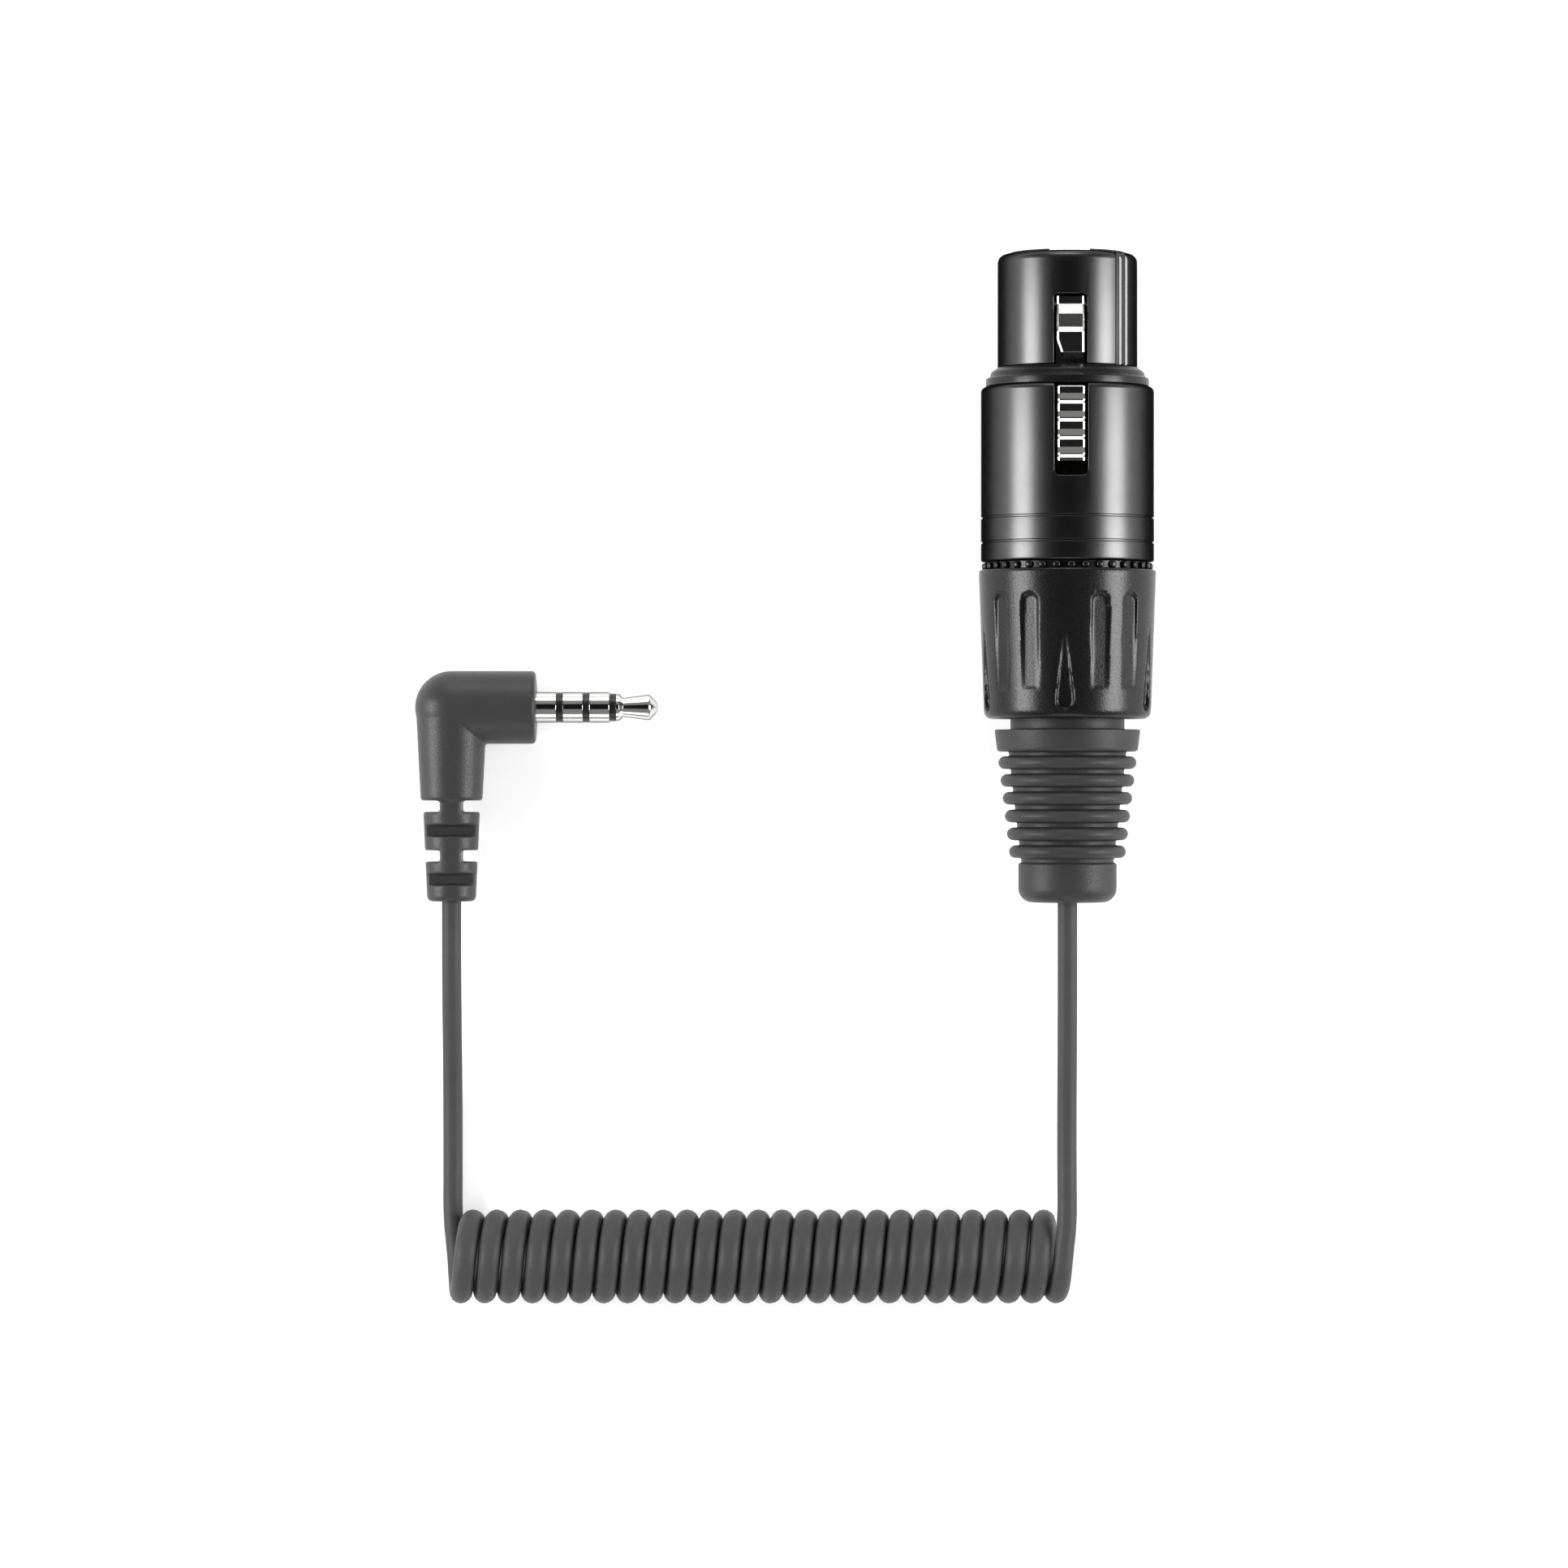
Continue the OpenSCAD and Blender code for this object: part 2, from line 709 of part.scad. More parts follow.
// The sleeve's root: a collar, and a neck that the moulding's front wall closes on
front_wall = 0.5;
collar_root_r = pin_d / 2 + 0.4;
neck_root_r = pin_d / 2 - 0.2;

// Radii of the pin's nested tubes, from the tip's rod outwards
rod_r = 0.4;
tube_w = 0.15;
function tube_in(i) = rod_r + fit + i * (tube_w + fit);
function tube_out(i) = tube_in(i) + tube_w;
// Where the nested tubes end at the back: the rod is number 0 and each tube ends before the one inside it
root_step = 0.7;
function tail(i) = pin_face - pin_root + i * root_step;

module jack_moulding() {
    web_1 = stem_len;
    block_1 = stem_len + 1.3;
    slot_1 = block_1 + 1.5;
    web_2 = block_1 + 4.4;
    block_2 = web_2 + 1.3;
    slot_2 = block_2 + 1.4;
    slot_w = 1.3;
    end_z = stem_len + relief_len;
    relief_0 = stem_d / 2 - 0.2;
    relief_1 = stem_d / 2 - 0.75;
    big = 2 * plug_d;
    color("#2f2f31")
        difference() {
            union() {
                pin_frame()
                    rotate_extrude()
                        drum_section(plug_d / 2, 0, plug_reach, 0.01, 0.45);
                pin_frame()
                    sphere(d = plug_d);
                stem_frame() {
                    cylinder(r1 = plug_d / 2 - 0.1, r2 = stem_d / 2, h = stem_len);
                    translate([0, 0, stem_len - past])
                        cylinder(r1 = relief_0, r2 = relief_1, h = relief_len - 0.6 + past);
                    rotate_extrude()
                        drum_section(relief_1, end_z - 2, end_z, 0.1, 0.6);
                }
            }
            stem_frame() {
                for (z = [web_1, web_2], s = [-1, 1])
                    translate([s * (web_w / 2 + big / 2), 0, z + 0.65])
                        cube([big, big, 1.3], center = true);
                for (z = [slot_1, slot_2], s = [-1, 1])
                    translate([0, s * (web_w / 2 + big / 2), z + slot_w / 2])
                        cube([big, big, slot_w], center = true);
                cylinder(r = stem_cavity_r, h = stem_len - 1.8);
                translate([0, 0, stem_len - 3])
                    cylinder(d = cord_d + 2 * fit, h = relief_len + 4);
            }
            pin_frame() {
                translate([0, 0, -1])
                    cylinder(d = plug_d - 2.4, h = core_end + 1);
                cylinder(r = collar_root_r + fit, h = plug_reach - front_wall);
                cylinder(r = neck_root_r + fit, h = plug_reach + 1);
            }
        }
}

module jack_core() {
    color("#c9c6bb")
        pin_frame()
            ring(collar_root_r + fit, (plug_d - 2.4) / 2 - fit, core_start, core_end - fit);
}

module jack_tip() {
    collar_r = pin_d / 2 - 0.2;
    groove_r = pin_d / 2 - 0.65;
    flare_r = pin_d / 2 - 0.25;
    color("#e4e5e6")
        pin_frame()
            rotate_extrude()
                polygon([
                    [0, tail(0)], [rod_r, tail(0)], [rod_r, tip_start],
                    [collar_r, tip_start], [collar_r, tip_start + 0.35],
                    [groove_r, tip_start + 0.8], [groove_r, tip_start + 0.95],
                    [flare_r, pin_tip - 1.05], [flare_r - 0.12, pin_tip - 0.85],
                    [0.55, pin_tip - 0.05], [0.4, pin_tip], [0, pin_tip]
                ]);
}

// A ring of the pin: a head of the pin's diameter, and a tube that runs back to its solder end
module pin_ring(i, head_start, head_end) {
    ring(tube_in(i), tube_out(i), tail(i + 1), head_start);
    ring(tube_in(i), pin_d / 2, head_start, head_end);
}

module jack_ring_1() {
    color("#e4e5e6")
        pin_frame()
            pin_ring(1, ring_2_end + gap_w, ring_1_end);
}

module jack_ring_2() {
    color("#e4e5e6")
        pin_frame()
            pin_ring(3, sleeve_end + gap_w, ring_2_end);
}

// The sleeve's root has a wide collar that the moulding wraps round
module jack_sleeve() {
    inner_r = tube_out(4) + fit;
    color("#e4e5e6")
        pin_frame() {
            ring(inner_r, collar_root_r, tail(6), pin_face - front_wall - fit);
            ring(inner_r, neck_root_r, tail(6), pin_face);
            ring(inner_r, pin_d / 2, pin_face, sleeve_end);
        }
}

// An insulator: a collar that shows between two rings, on a tube between their tubes
module jack_insulator(i) {
    collar_start = [tip_start - gap_w, ring_2_end, sleeve_end][i];
    color("#1a1a1b")
        pin_frame() {
            ring(tube_in(2 * i), tube_out(2 * i), tail(2 * i + 1), collar_start + fit);
            ring(tube_in(2 * i), pin_d / 2, collar_start + fit, collar_start + gap_w - fit);
        }
}

// Wires inside the moulding: two to the second ring's tube and one to the sleeve
module jack_wire(i) {
    wire_d = 0.56;
    height = [0.45, -0.45, 0][i];
    out = [-0.45, -0.45, 0.55][i];
    reach = tail([4.5, 4.5, 6.3][i]);
    drop = [tube_out(3), tube_out(3), collar_root_r][i] + wire_d / 2 + 0.05;
    color(["#8d8f92", "#b9b9b6", "#8e2320"][i])
        translate([plug_x, plug_y, plug_z])
            tube([
                [reach, -drop, height], [(reach + stem_cavity_r) / 2, -drop - 0.15, height],
                [stem_cavity_r, -drop - 0.3, height], [out + 0.9, -drop - 1.7, height],
                [out + 0.2, -stem_len + 4.6, height], [out, -stem_len + 3, height]
            ], wire_d, 8, [0, 0, 1]);
}

// The cord's end inside the moulding, from the wires to the strain relief's end
module jack_jacket() {
    color("#3c3c3e")
        stem_frame()
            translate([0, 0, stem_len - 3 + fit])
                cylinder(d = cord_d, h = relief_len + 3 - fit);
}

module cord_left() {
    color("#464648")
        tube(cord_left_route, cord_d, 8, [1, 0, 0]);
}

module cord_curls() {
    color("#464648")
        tube(curl_line(rings_per_curl), cord_d, 6, [1, 0, 0]);
}

module cord_right() {
    color("#464648")
        tube(cord_right_route, cord_d, 8, [1, 0, 0]);
}

shell();
collar_ring();
insert();
contact(0);  // contact_1
contact(1);  // contact_2
contact(2);  // contact_3
latch_lever();
latch_pin();
latch_spring();
ground_clip();
chuck();
xlr_wire(0);  // xlr_wire_1
xlr_wire(1);  // xlr_wire_2
xlr_wire(2);  // xlr_wire_3
xlr_jacket();
back_nut();
toothed_ring();
boot();
jack_moulding();
jack_core();
jack_tip();
jack_ring_1();
jack_ring_2();
jack_sleeve();
jack_insulator(0);  // jack_insulator_1
jack_insulator(1);  // jack_insulator_2
jack_insulator(2);  // jack_insulator_3
jack_wire(0);  // jack_wire_1
jack_wire(1);  // jack_wire_2
jack_wire(2);  // jack_wire_3
jack_jacket();
cord_left();
cord_curls();
cord_right();
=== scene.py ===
"""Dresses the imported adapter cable: an XLR cable socket, a curly cord and an angled 3.5 mm plug.

Outlines are in millimetres in each connector's own frame, and the pieces are placed in the model's
frame in metres.
"""

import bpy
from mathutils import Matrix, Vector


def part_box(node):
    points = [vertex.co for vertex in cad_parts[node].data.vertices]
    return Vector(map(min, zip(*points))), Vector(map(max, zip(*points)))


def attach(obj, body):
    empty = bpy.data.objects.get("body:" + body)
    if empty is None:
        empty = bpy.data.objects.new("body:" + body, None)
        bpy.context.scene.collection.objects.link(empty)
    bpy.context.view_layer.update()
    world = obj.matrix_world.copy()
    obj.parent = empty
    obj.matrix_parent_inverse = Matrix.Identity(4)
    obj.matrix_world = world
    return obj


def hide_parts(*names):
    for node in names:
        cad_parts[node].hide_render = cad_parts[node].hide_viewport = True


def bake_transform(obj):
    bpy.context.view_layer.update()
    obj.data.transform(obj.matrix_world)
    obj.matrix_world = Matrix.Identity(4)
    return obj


bl_info = {
    "name": "Adapter cable",
    "version": (1, 0, 0),
    "blender": (4, 5, 0),
    "location": "View3D > Sidebar > Cable",
    "description": "Builds the finished pieces, materials and stage of a coiled adapter cable",
    "category": "Object",
}

from math import asin, cos, pi, radians, sin, tan

import bmesh
import bpy
from bpy.props import FloatProperty, FloatVectorProperty, IntProperty, PointerProperty
from mathutils import Matrix, Vector

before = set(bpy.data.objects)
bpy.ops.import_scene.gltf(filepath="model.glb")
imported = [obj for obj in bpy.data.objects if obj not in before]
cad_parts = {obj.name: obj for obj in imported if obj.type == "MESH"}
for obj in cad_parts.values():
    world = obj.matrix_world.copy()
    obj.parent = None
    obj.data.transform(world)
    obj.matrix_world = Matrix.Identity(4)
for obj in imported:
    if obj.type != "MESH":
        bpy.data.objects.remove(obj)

MM = 0.001

# ---- Places, read from the frame ---------------------------------------------------------------

SHELL_LOW, SHELL_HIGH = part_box("shell")
NOSE_Y = SHELL_HIGH.y
XLR_X = (SHELL_LOW.x + SHELL_HIGH.x) / 2
XLR_Z = (SHELL_LOW.z + SHELL_HIGH.z) / 2
PLUG_LOW, PLUG_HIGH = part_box("jack_moulding")
PLUG_R = (PLUG_HIGH.z - PLUG_LOW.z) / 2
PLUG_CORNER = Vector((PLUG_LOW.x + PLUG_R, PLUG_HIGH.y - PLUG_R, PLUG_LOW.z + PLUG_R))

# Each connector's own frame, in millimetres: Z runs along the axis away from the front end of the
# XLR, towards the tip of the plug's pin, or down the plug's stem
TURN_BACK = Matrix.Rotation(radians(90), 4, "X")
XLR = Matrix.Translation((XLR_X, NOSE_Y, XLR_Z)) @ TURN_BACK @ Matrix.Scale(MM, 4)
PIN = Matrix.Translation(PLUG_CORNER) @ Matrix.Rotation(radians(90), 4, "Y") @ Matrix.Scale(MM, 4)
STEM = Matrix.Translation(PLUG_CORNER) @ TURN_BACK @ Matrix.Scale(MM, 4)


def along_xlr(node):
    """Front and rear of a node along the XLR, in mm from the nose's front."""
    low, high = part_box(node)
    return (NOSE_Y - high.y) / MM, (NOSE_Y - low.y) / MM


def along_pin(node):
    """Root and tip of a node along the plug's pin, in mm from the cord's axis."""
    low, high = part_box(node)
    return (low.x - PLUG_CORNER.x) / MM, (high.x - PLUG_CORNER.x) / MM


def radius_of(node):
    """Greatest radius of a round node that lies along Y, in mm."""
    low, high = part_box(node)
    return (high.x - low.x) / 2 / MM


COLLAR = along_xlr("collar_ring")
NUT = along_xlr("back_nut")
TEETH = along_xlr("toothed_ring")
BOOT_END = along_xlr("boot")[1]
SPIGOT_END = along_xlr("shell")[1]
LATCH = along_xlr("latch_lever")
BODY_FRONT = COLLAR[1] + 0.03
BODY_REAR = TEETH[0] - 0.05

# ---- The cord's route --------------------------------------------------------------------------

# Points in mm, the same as the model's: from the boot to the curls, and from the plug to the curls
RIGHT_ROUTE = [
    (32.3, -37, 10.1), (32.3, -41, 10.1), (32.3, -45, 10.1), (32.3, -49, 9.98),
    (32.3, -53, 9.65), (32.3, -57, 9.2), (32.3, -61, 8.85), (32.3, -65, 8.8),
    (32.3, -69, 9.1), (32.3, -72, 9.45), (32.195, -74.415, 9.55), (32.08, -75.51, 9.55),
]
LEFT_ROUTE = [
    (-38.2, -37, 4.2), (-38.2, -41, 4.2), (-38.2, -45, 4.05), (-38.2, -49, 3.45),
    (-38.2, -53, 2.6), (-38.2, -57, 1.85), (-38.2, -61, 1.4), (-38.2, -65, 1.2),
    (-38.2, -69, 1.2), (-38.2, -72, 1.3), (-38.095, -74.415, 1.35), (-37.98, -75.51, 1.35),
]
CURL_START_X = -37.75
CURL_END_X = 31.85
CURL_AXIS_Y = -77.7
CURL_AXIS_Z = 5.45
CURL_R = 4.1
CURL_TURNS = 25.5
# How far the cord's ends reach into the boot and into the plug's strain relief
CORD_TUCK = 3.0
CORD_SIDES = 16
# Points for each turn of the curls, and for each stretch between two points of the tails
CURL_STEPS = 28
TAIL_STEPS = 4
# Ends of the line on which the cord's rings are gathered for a moment, in metres
STRETCH_START = (0.031, -0.0777, 0.0055)
STRETCH_END = (-0.037, -0.0777, 0.0055)


# ---- Sizes and colours that can be changed -----------------------------------------------------

def colour(code):
    """Linear red, green and blue of an sRGB hex colour."""
    channels = [int(code[i:i + 2], 16) / 255 for i in (1, 3, 5)]
    return [c / 12.92 if c <= 0.04045 else ((c + 0.055) / 1.055) ** 2.4 for c in channels]


class CableSizes(bpy.types.PropertyGroup):
    """Sizes of the finish, which the model leaves open."""

    cord_d: FloatProperty(
        name="Cord", description="Diameter of the cord's straight tails", default=0.00226,
        unit="LENGTH",
    )
    curl_d: FloatProperty(
        name="Curled cord", description="Diameter of the cord in its curls", default=0.0026,
        unit="LENGTH",
    )
    rim: FloatProperty(
        name="Rim", description="Width of the rounding on cut edges", default=0.00012,
        unit="LENGTH",
    )
    turn_steps: IntProperty(
        name="Steps", description="Flat steps round each turned piece", default=144, min=48,
        max=256,
    )


class CableColours(bpy.types.PropertyGroup):
    """Base colours of the visible materials."""

    lacquer: FloatVectorProperty(
        name="Lacquer", description="Lacquer on the shell", subtype="COLOR",
        default=colour("#484848"),
    )
    nylon: FloatVectorProperty(
        name="Nylon", description="Back nut, rings and insert", subtype="COLOR",
        default=colour("#141414"),
    )
    rubber: FloatVectorProperty(
        name="Rubber", description="Boot", subtype="COLOR",
        default=colour("#343434"),
    )
    moulding: FloatVectorProperty(
        name="Moulding", description="Moulding of the plug", subtype="COLOR",
        default=colour("#373737"),
    )
    jacket: FloatVectorProperty(
        name="Jacket", description="Outside of the cord", subtype="COLOR",
        default=colour("#444444"),
    )
    nickel: FloatVectorProperty(
        name="Nickel", description="Plating of the pin and the latch", subtype="COLOR",
        default=colour("#e0e0de"),
    )
    gold: FloatVectorProperty(
        name="Gold", description="Plating of the contacts", subtype="COLOR",
        default=colour("#d9b25a"),
    )


# ---- Materials ---------------------------------------------------------------------------------

def add(material, kind, settings=None, links=None):
    """Adds a node. Settings are its properties and loose inputs, links the outputs that feed it."""
    node = material.node_tree.nodes.new(kind)
    for name, value in (settings or {}).items():
        if isinstance(name, int) or name in node.inputs:
            node.inputs[name].default_value = value
        else:
            setattr(node, name, value)
    for name, output in (links or {}).items():
        material.node_tree.links.new(output, node.inputs[name])
    return node


def new_material(name):
    """An empty node material and its output node."""
    material = bpy.data.materials.new(name)
    material.use_nodes = True
    material.node_tree.nodes.clear()
    return material, add(material, "ShaderNodeOutputMaterial")


def shades(base, spread):
    """A darker and a lighter shade of a colour."""
    low = [c * (1 - spread) for c in base] + [1]
    high = [c * (1 + spread) for c in base] + [1]
    return low, high


# Where nearly all of a noise texture's values lie
NOISE_RANGE = {"From Min": 0.3, "From Max": 0.7}
# In metres: handling clouds on a surface, and the width and depth of polishing marks on metal
CLOUD_WIDTH = 0.004
MARK_WIDTH = 0.0006
MARK_DEPTH = 0.000004


def grained_surface(
    name, base, roughness, grain, depth, spread=0.25, rough_spread=0.06, shine=None
):
    """Moulded or lacquered surface with a fine grain, whose width and depth are in metres.

    Spread is how much the shade varies over a few millimetres, rough_spread how much the roughness
    varies from grain to grain, and shine is loose inputs of the shader."""
    material, output = new_material(name)
    place = add(material, "ShaderNodeTexCoord").outputs["Object"]
    fine = add(
        material, "ShaderNodeTexNoise",
        {"Scale": 1 / grain, "Detail": 2.0, "Roughness": 0.6}, {"Vector": place},
    )
    # Faint cloudiness a few millimetres wide, from handling
    broad = add(
        material, "ShaderNodeTexNoise",
        {"Scale": 1 / CLOUD_WIDTH, "Detail": 3.0, "Roughness": 0.55}, {"Vector": place},
    )
    low, high = shades(base, spread)
    # A mix node's colours are its inputs 6 and 7 and its output 2
    tone = add(
        material, "ShaderNodeMix", {"data_type": "RGBA", 6: low, 7: high}, {0: broad.outputs["Fac"]}
    )
    gloss = add(
        material, "ShaderNodeMapRange",
        {**NOISE_RANGE, "To Min": roughness - rough_spread, "To Max": roughness + rough_spread},
        {"Value": fine.outputs["Fac"]},
    )
    bump = add(
        material, "ShaderNodeBump",
        {"Strength": 1.0, "Distance": depth}, {"Height": fine.outputs["Fac"]},
    )
    shader = add(
        material, "ShaderNodeBsdfPrincipled", {"IOR": 1.45, **(shine or {})},
        {
            "Base Color": tone.outputs[2],
            "Roughness": gloss.outputs["Result"],
            "Normal": bump.outputs["Normal"],
        },
    )
    material.node_tree.links.new(shader.outputs["BSDF"], output.inputs["Surface"])
    return material


def plated_metal(name, base, roughness, streak_axis, edge=1.0):
    """Plated metal whose polishing marks run round one axis: 0 for X, 1 for Y and 2 for Z.

    Edge is how light it is where it is seen at a slant."""
    material, output = new_material(name)
    place = add(material, "ShaderNodeTexCoord").outputs["Object"]
    stretch = [1.0, 1.0, 1.0]
    stretch[streak_axis] = 12.0
    mapping = add(material, "ShaderNodeMapping", {"Scale": stretch}, {"Vector": place})
    marks = add(
        material, "ShaderNodeTexNoise",
        {"Scale": 1 / MARK_WIDTH, "Detail": 4.0, "Roughness": 0.6},
        {"Vector": mapping.outputs["Vector"]},
    )
    gloss = add(
        material, "ShaderNodeMapRange",
        {**NOISE_RANGE, "To Min": roughness * 0.8, "To Max": roughness * 1.25},
        {"Value": marks.outputs["Fac"]},
    )
    bump = add(
        material, "ShaderNodeBump", {"Strength": 0.25, "Distance": MARK_DEPTH},
        {"Height": marks.outputs["Fac"]},
    )
    shader = add(
        material, "ShaderNodeBsdfPrincipled",
        {"Base Color": [*base, 1], "Metallic": 1.0, "Specular Tint": (edge, edge, edge, 1)},
        {"Roughness": gloss.outputs["Result"], "Normal": bump.outputs["Normal"]},
    )
    material.node_tree.links.new(shader.outputs["BSDF"], output.inputs["Surface"])
    return material


def lacquered_zinc(colours):
    # Die-cast zinc under a thin satin lacquer: it shines as metal does, but goes dark towards its
    # outline
    return grained_surface(
        "lacquered zinc", colours.lacquer, roughness=0.32, grain=0.00014, depth=0.0000025,
        spread=0.12, rough_spread=0.035, shine={"Metallic": 1.0, "Specular Tint": (0, 0, 0, 1)},
    )


def grained_nylon(colours):
    # Glass-filled nylon from an eroded mould: a fine even grain that breaks up the highlights
    return grained_surface(
        "grained nylon", colours.nylon, roughness=0.28, grain=0.00022, depth=0.000017,
        shine={"IOR": 1.34},
    )


def matt_rubber(colours):
    # Thermoplastic rubber: a soft grey bloom and hardly any shine
    return grained_surface(
        "matt rubber", colours.rubber, roughness=0.46, grain=0.00017, depth=0.00003, spread=0.12,
        shine={"IOR": 1.32},
    )


def moulded_rubber(colours):
    # Cord rubber from a spark-eroded mould: a fine even grain with a low shine
    return grained_surface(
        "moulded rubber", colours.moulding, roughness=0.38, grain=0.00016, depth=0.00003,
        spread=0.12, rough_spread=0.08, shine={"IOR": 1.33},
    )


def cord_jacket(colours):
    # Extruded polyurethane: even, satin, with very slight waviness
    return grained_surface(
        "polyurethane jacket", colours.jacket, roughness=0.5, grain=0.0004, depth=0.000006,
        spread=0.15, shine={"IOR": 1.25},
    )


def black_insulator(colours):
    # Moulded nylon between the pin's poles: smooth and half glossy
    return grained_surface(
        "black insulator", colours.nylon, roughness=0.35, grain=0.0003, depth=0.000003
    )


def collar_plastic(colours):
    # Moulded ring: plain black, and duller than the lacquer beside it
    return grained_surface(
        "collar plastic", colours.nylon, roughness=0.3, grain=0.00018, depth=0.000006,
        shine={"IOR": 1.32},
    )


def insert_nylon(colours):
    # Insert moulded from filled nylon: flat black, fine grain
    return grained_surface(
        "insert nylon", colours.nylon, roughness=0.5, grain=0.0002, depth=0.000006
    )


def white_acetal():
    # Natural acetal: creamy, slightly waxy
    return grained_surface(
        "white acetal", colour("#d8d5cc"), roughness=0.4, grain=0.0005, depth=0.000003, spread=0.05
    )


def core_nylon():
    # Hard moulded core round the pin's root: cream nylon, matt
    return grained_surface(
        "core nylon", colour("#c9c6bb"), roughness=0.5, grain=0.0004, depth=0.000004, spread=0.06
    )


def wire_insulation(code):
    # Soft extruded vinyl over a thin wire: even and half glossy
    return grained_surface(
        "wire insulation", colour(code), roughness=0.4, grain=0.0004, depth=0.000002, spread=0.08
    )


def nickel_plate(colours):
    # Bright nickel on turned brass, polished round the pin's axis
    return plated_metal("nickel plate", colours.nickel, roughness=0.12, streak_axis=0, edge=0.0)


def satin_nickel(colours):
    # Dull nickel on a pressed steel lever: greyer and softer than the pin's
    base = [c * 0.8 for c in colours.nickel]
    return plated_metal("satin nickel", base, roughness=0.18, streak_axis=1)


def gold_plate(colours):
    # Thin gold on the contacts: warm, slightly dull
    return plated_metal("gold plate", colours.gold, roughness=0.25, streak_axis=1)


def spring_steel(colours):
    # Cold-rolled spring steel: grey, rolled along the strip
    base = [c * 0.5 for c in colours.nickel]
    return plated_metal("spring steel", base, roughness=0.38, streak_axis=1)


# ---- Shapes, in millimetres --------------------------------------------------------------------

# Degrees of an arc that one of its steps takes
ARC_STEP = 12
# Edges of a solid that turn by more degrees than this are rounded
SHARP_EDGE = 30
# Flat steps round the plug's pieces, and round bores
PLUG_STEPS = 96
BORE_STEPS = 48
# Shortest edges that the cuts in the connectors leave
FINE_EDGE = 0.003


def outline(corners, closed=False):
    """Points of an outline. A corner is (x, y) or (x, y, radius), and an arc rounds it."""
    points = []
    count = len(corners)
    for i, corner in enumerate(corners):
        here = Vector(corner[:2])
        radius = corner[2] if len(corner) > 2 else 0
        if not radius or (not closed and i in (0, count - 1)):
            points.append(here)
            continue
        before = (Vector(corners[i - 1][:2]) - here).normalized()
        after = (Vector(corners[(i + 1) % count][:2]) - here).normalized()
        corner_angle = before.angle(after)
        reach = radius / tan(corner_angle / 2)
        centre = here + (before + after).normalized() * (radius / sin(corner_angle / 2))
        start = here + before * reach - centre
        end = here + after * reach - centre
        turn = pi - corner_angle
        side = 1 if start.x * end.y - start.y * end.x > 0 else -1
        steps = max(2, round(turn / radians(ARC_STEP)))
        for k in range(steps + 1):
            a = side * turn * k / steps
            points.append(centre + Vector((
                start.x * cos(a) - start.y * sin(a), start.x * sin(a) + start.y * cos(a)
            )))
    return points


def lathe(points, closed=False, steps=PLUG_STEPS):
    """Spins an outline of (radius, height) points once round Z."""
    bm = bmesh.new()
    verts = [bm.verts.new((x, 0, z)) for x, z in points]
    pairs = list(zip(verts, verts[1:])) + ([(verts[-1], verts[0])] if closed else [])
    edges = [bm.edges.new(pair) for pair in pairs]
    bmesh.ops.spin(
        bm, geom=verts + edges, axis=(0, 0, 1), cent=(0, 0, 0), dvec=(0, 0, 0),
        angle=2 * pi, steps=steps, use_merge=True,
    )
    bmesh.ops.remove_doubles(bm, verts=bm.verts, dist=0.0005)
    bmesh.ops.recalc_face_normals(bm, faces=bm.faces)
    return bm


def turned(corners, steps):
    """A ring whose section has the outline of some (radius, height) corners."""
    return lathe(outline(corners, closed=True), closed=True, steps=steps)


def prism(points, height):
    """A straight-sided solid on an outline in XY, from Z = 0 up."""
    bm = bmesh.new()
    face = bm.faces.new([bm.verts.new((x, y, 0)) for x, y in points])
    grown = bmesh.ops.extrude_face_region(bm, geom=[face])
    top = [g for g in grown["geom"] if isinstance(g, bmesh.types.BMVert)]
    bmesh.ops.translate(bm, vec=(0, 0, height), verts=top)
    bmesh.ops.recalc_face_normals(bm, faces=bm.faces)
    return bm


def block(low, high):
    """A box between two corners."""
    bm = bmesh.new()
    size = Vector(high) - Vector(low)
    place = Matrix.Translation((Vector(low) + Vector(high)) / 2) @ Matrix.Diagonal((*size, 1))
    bmesh.ops.create_cube(bm, size=1, matrix=place)
    return bm


def joined(parts):
    """One mesh of several, which are used up."""
    whole = bmesh.new()
    scratch = bpy.data.meshes.new("scratch")
    for part in parts:
        part.to_mesh(scratch)
        part.free()
        whole.from_mesh(scratch)
    bpy.data.meshes.remove(scratch)
    return whole


def moved(bm, matrix):
    bmesh.ops.transform(bm, matrix=matrix, verts=bm.verts)
    return bm


def soften(bm, width, segments=2, clamp=True):
    """Rounds the sharp edges of a solid."""
    edges = [
        e for e in bm.edges
        if len(e.link_faces) == 2 and e.calc_face_angle() > radians(SHARP_EDGE)
    ]
    bmesh.ops.bevel(
        bm, geom=edges, offset=width, offset_type="OFFSET", segments=segments, profile=0.5,
        affect="EDGES", clamp_overlap=clamp, material=-1,
    )
    return bm


def scratch_object(bm):
    mesh = bpy.data.meshes.new("scratch")
    bm.to_mesh(mesh)
    bm.free()
    obj = bpy.data.objects.new("scratch", mesh)
    bpy.context.scene.collection.objects.link(obj)
    return obj


def shaped(obj, *helpers):
    """The mesh that an object's modifiers make; the object and its helpers are deleted."""
    bm = bmesh.new()
    bm.from_object(obj, bpy.context.evaluated_depsgraph_get())
    for used in (obj, *helpers):
        mesh = used.data
        bpy.data.objects.remove(used)
        bpy.data.meshes.remove(mesh)
    return bm


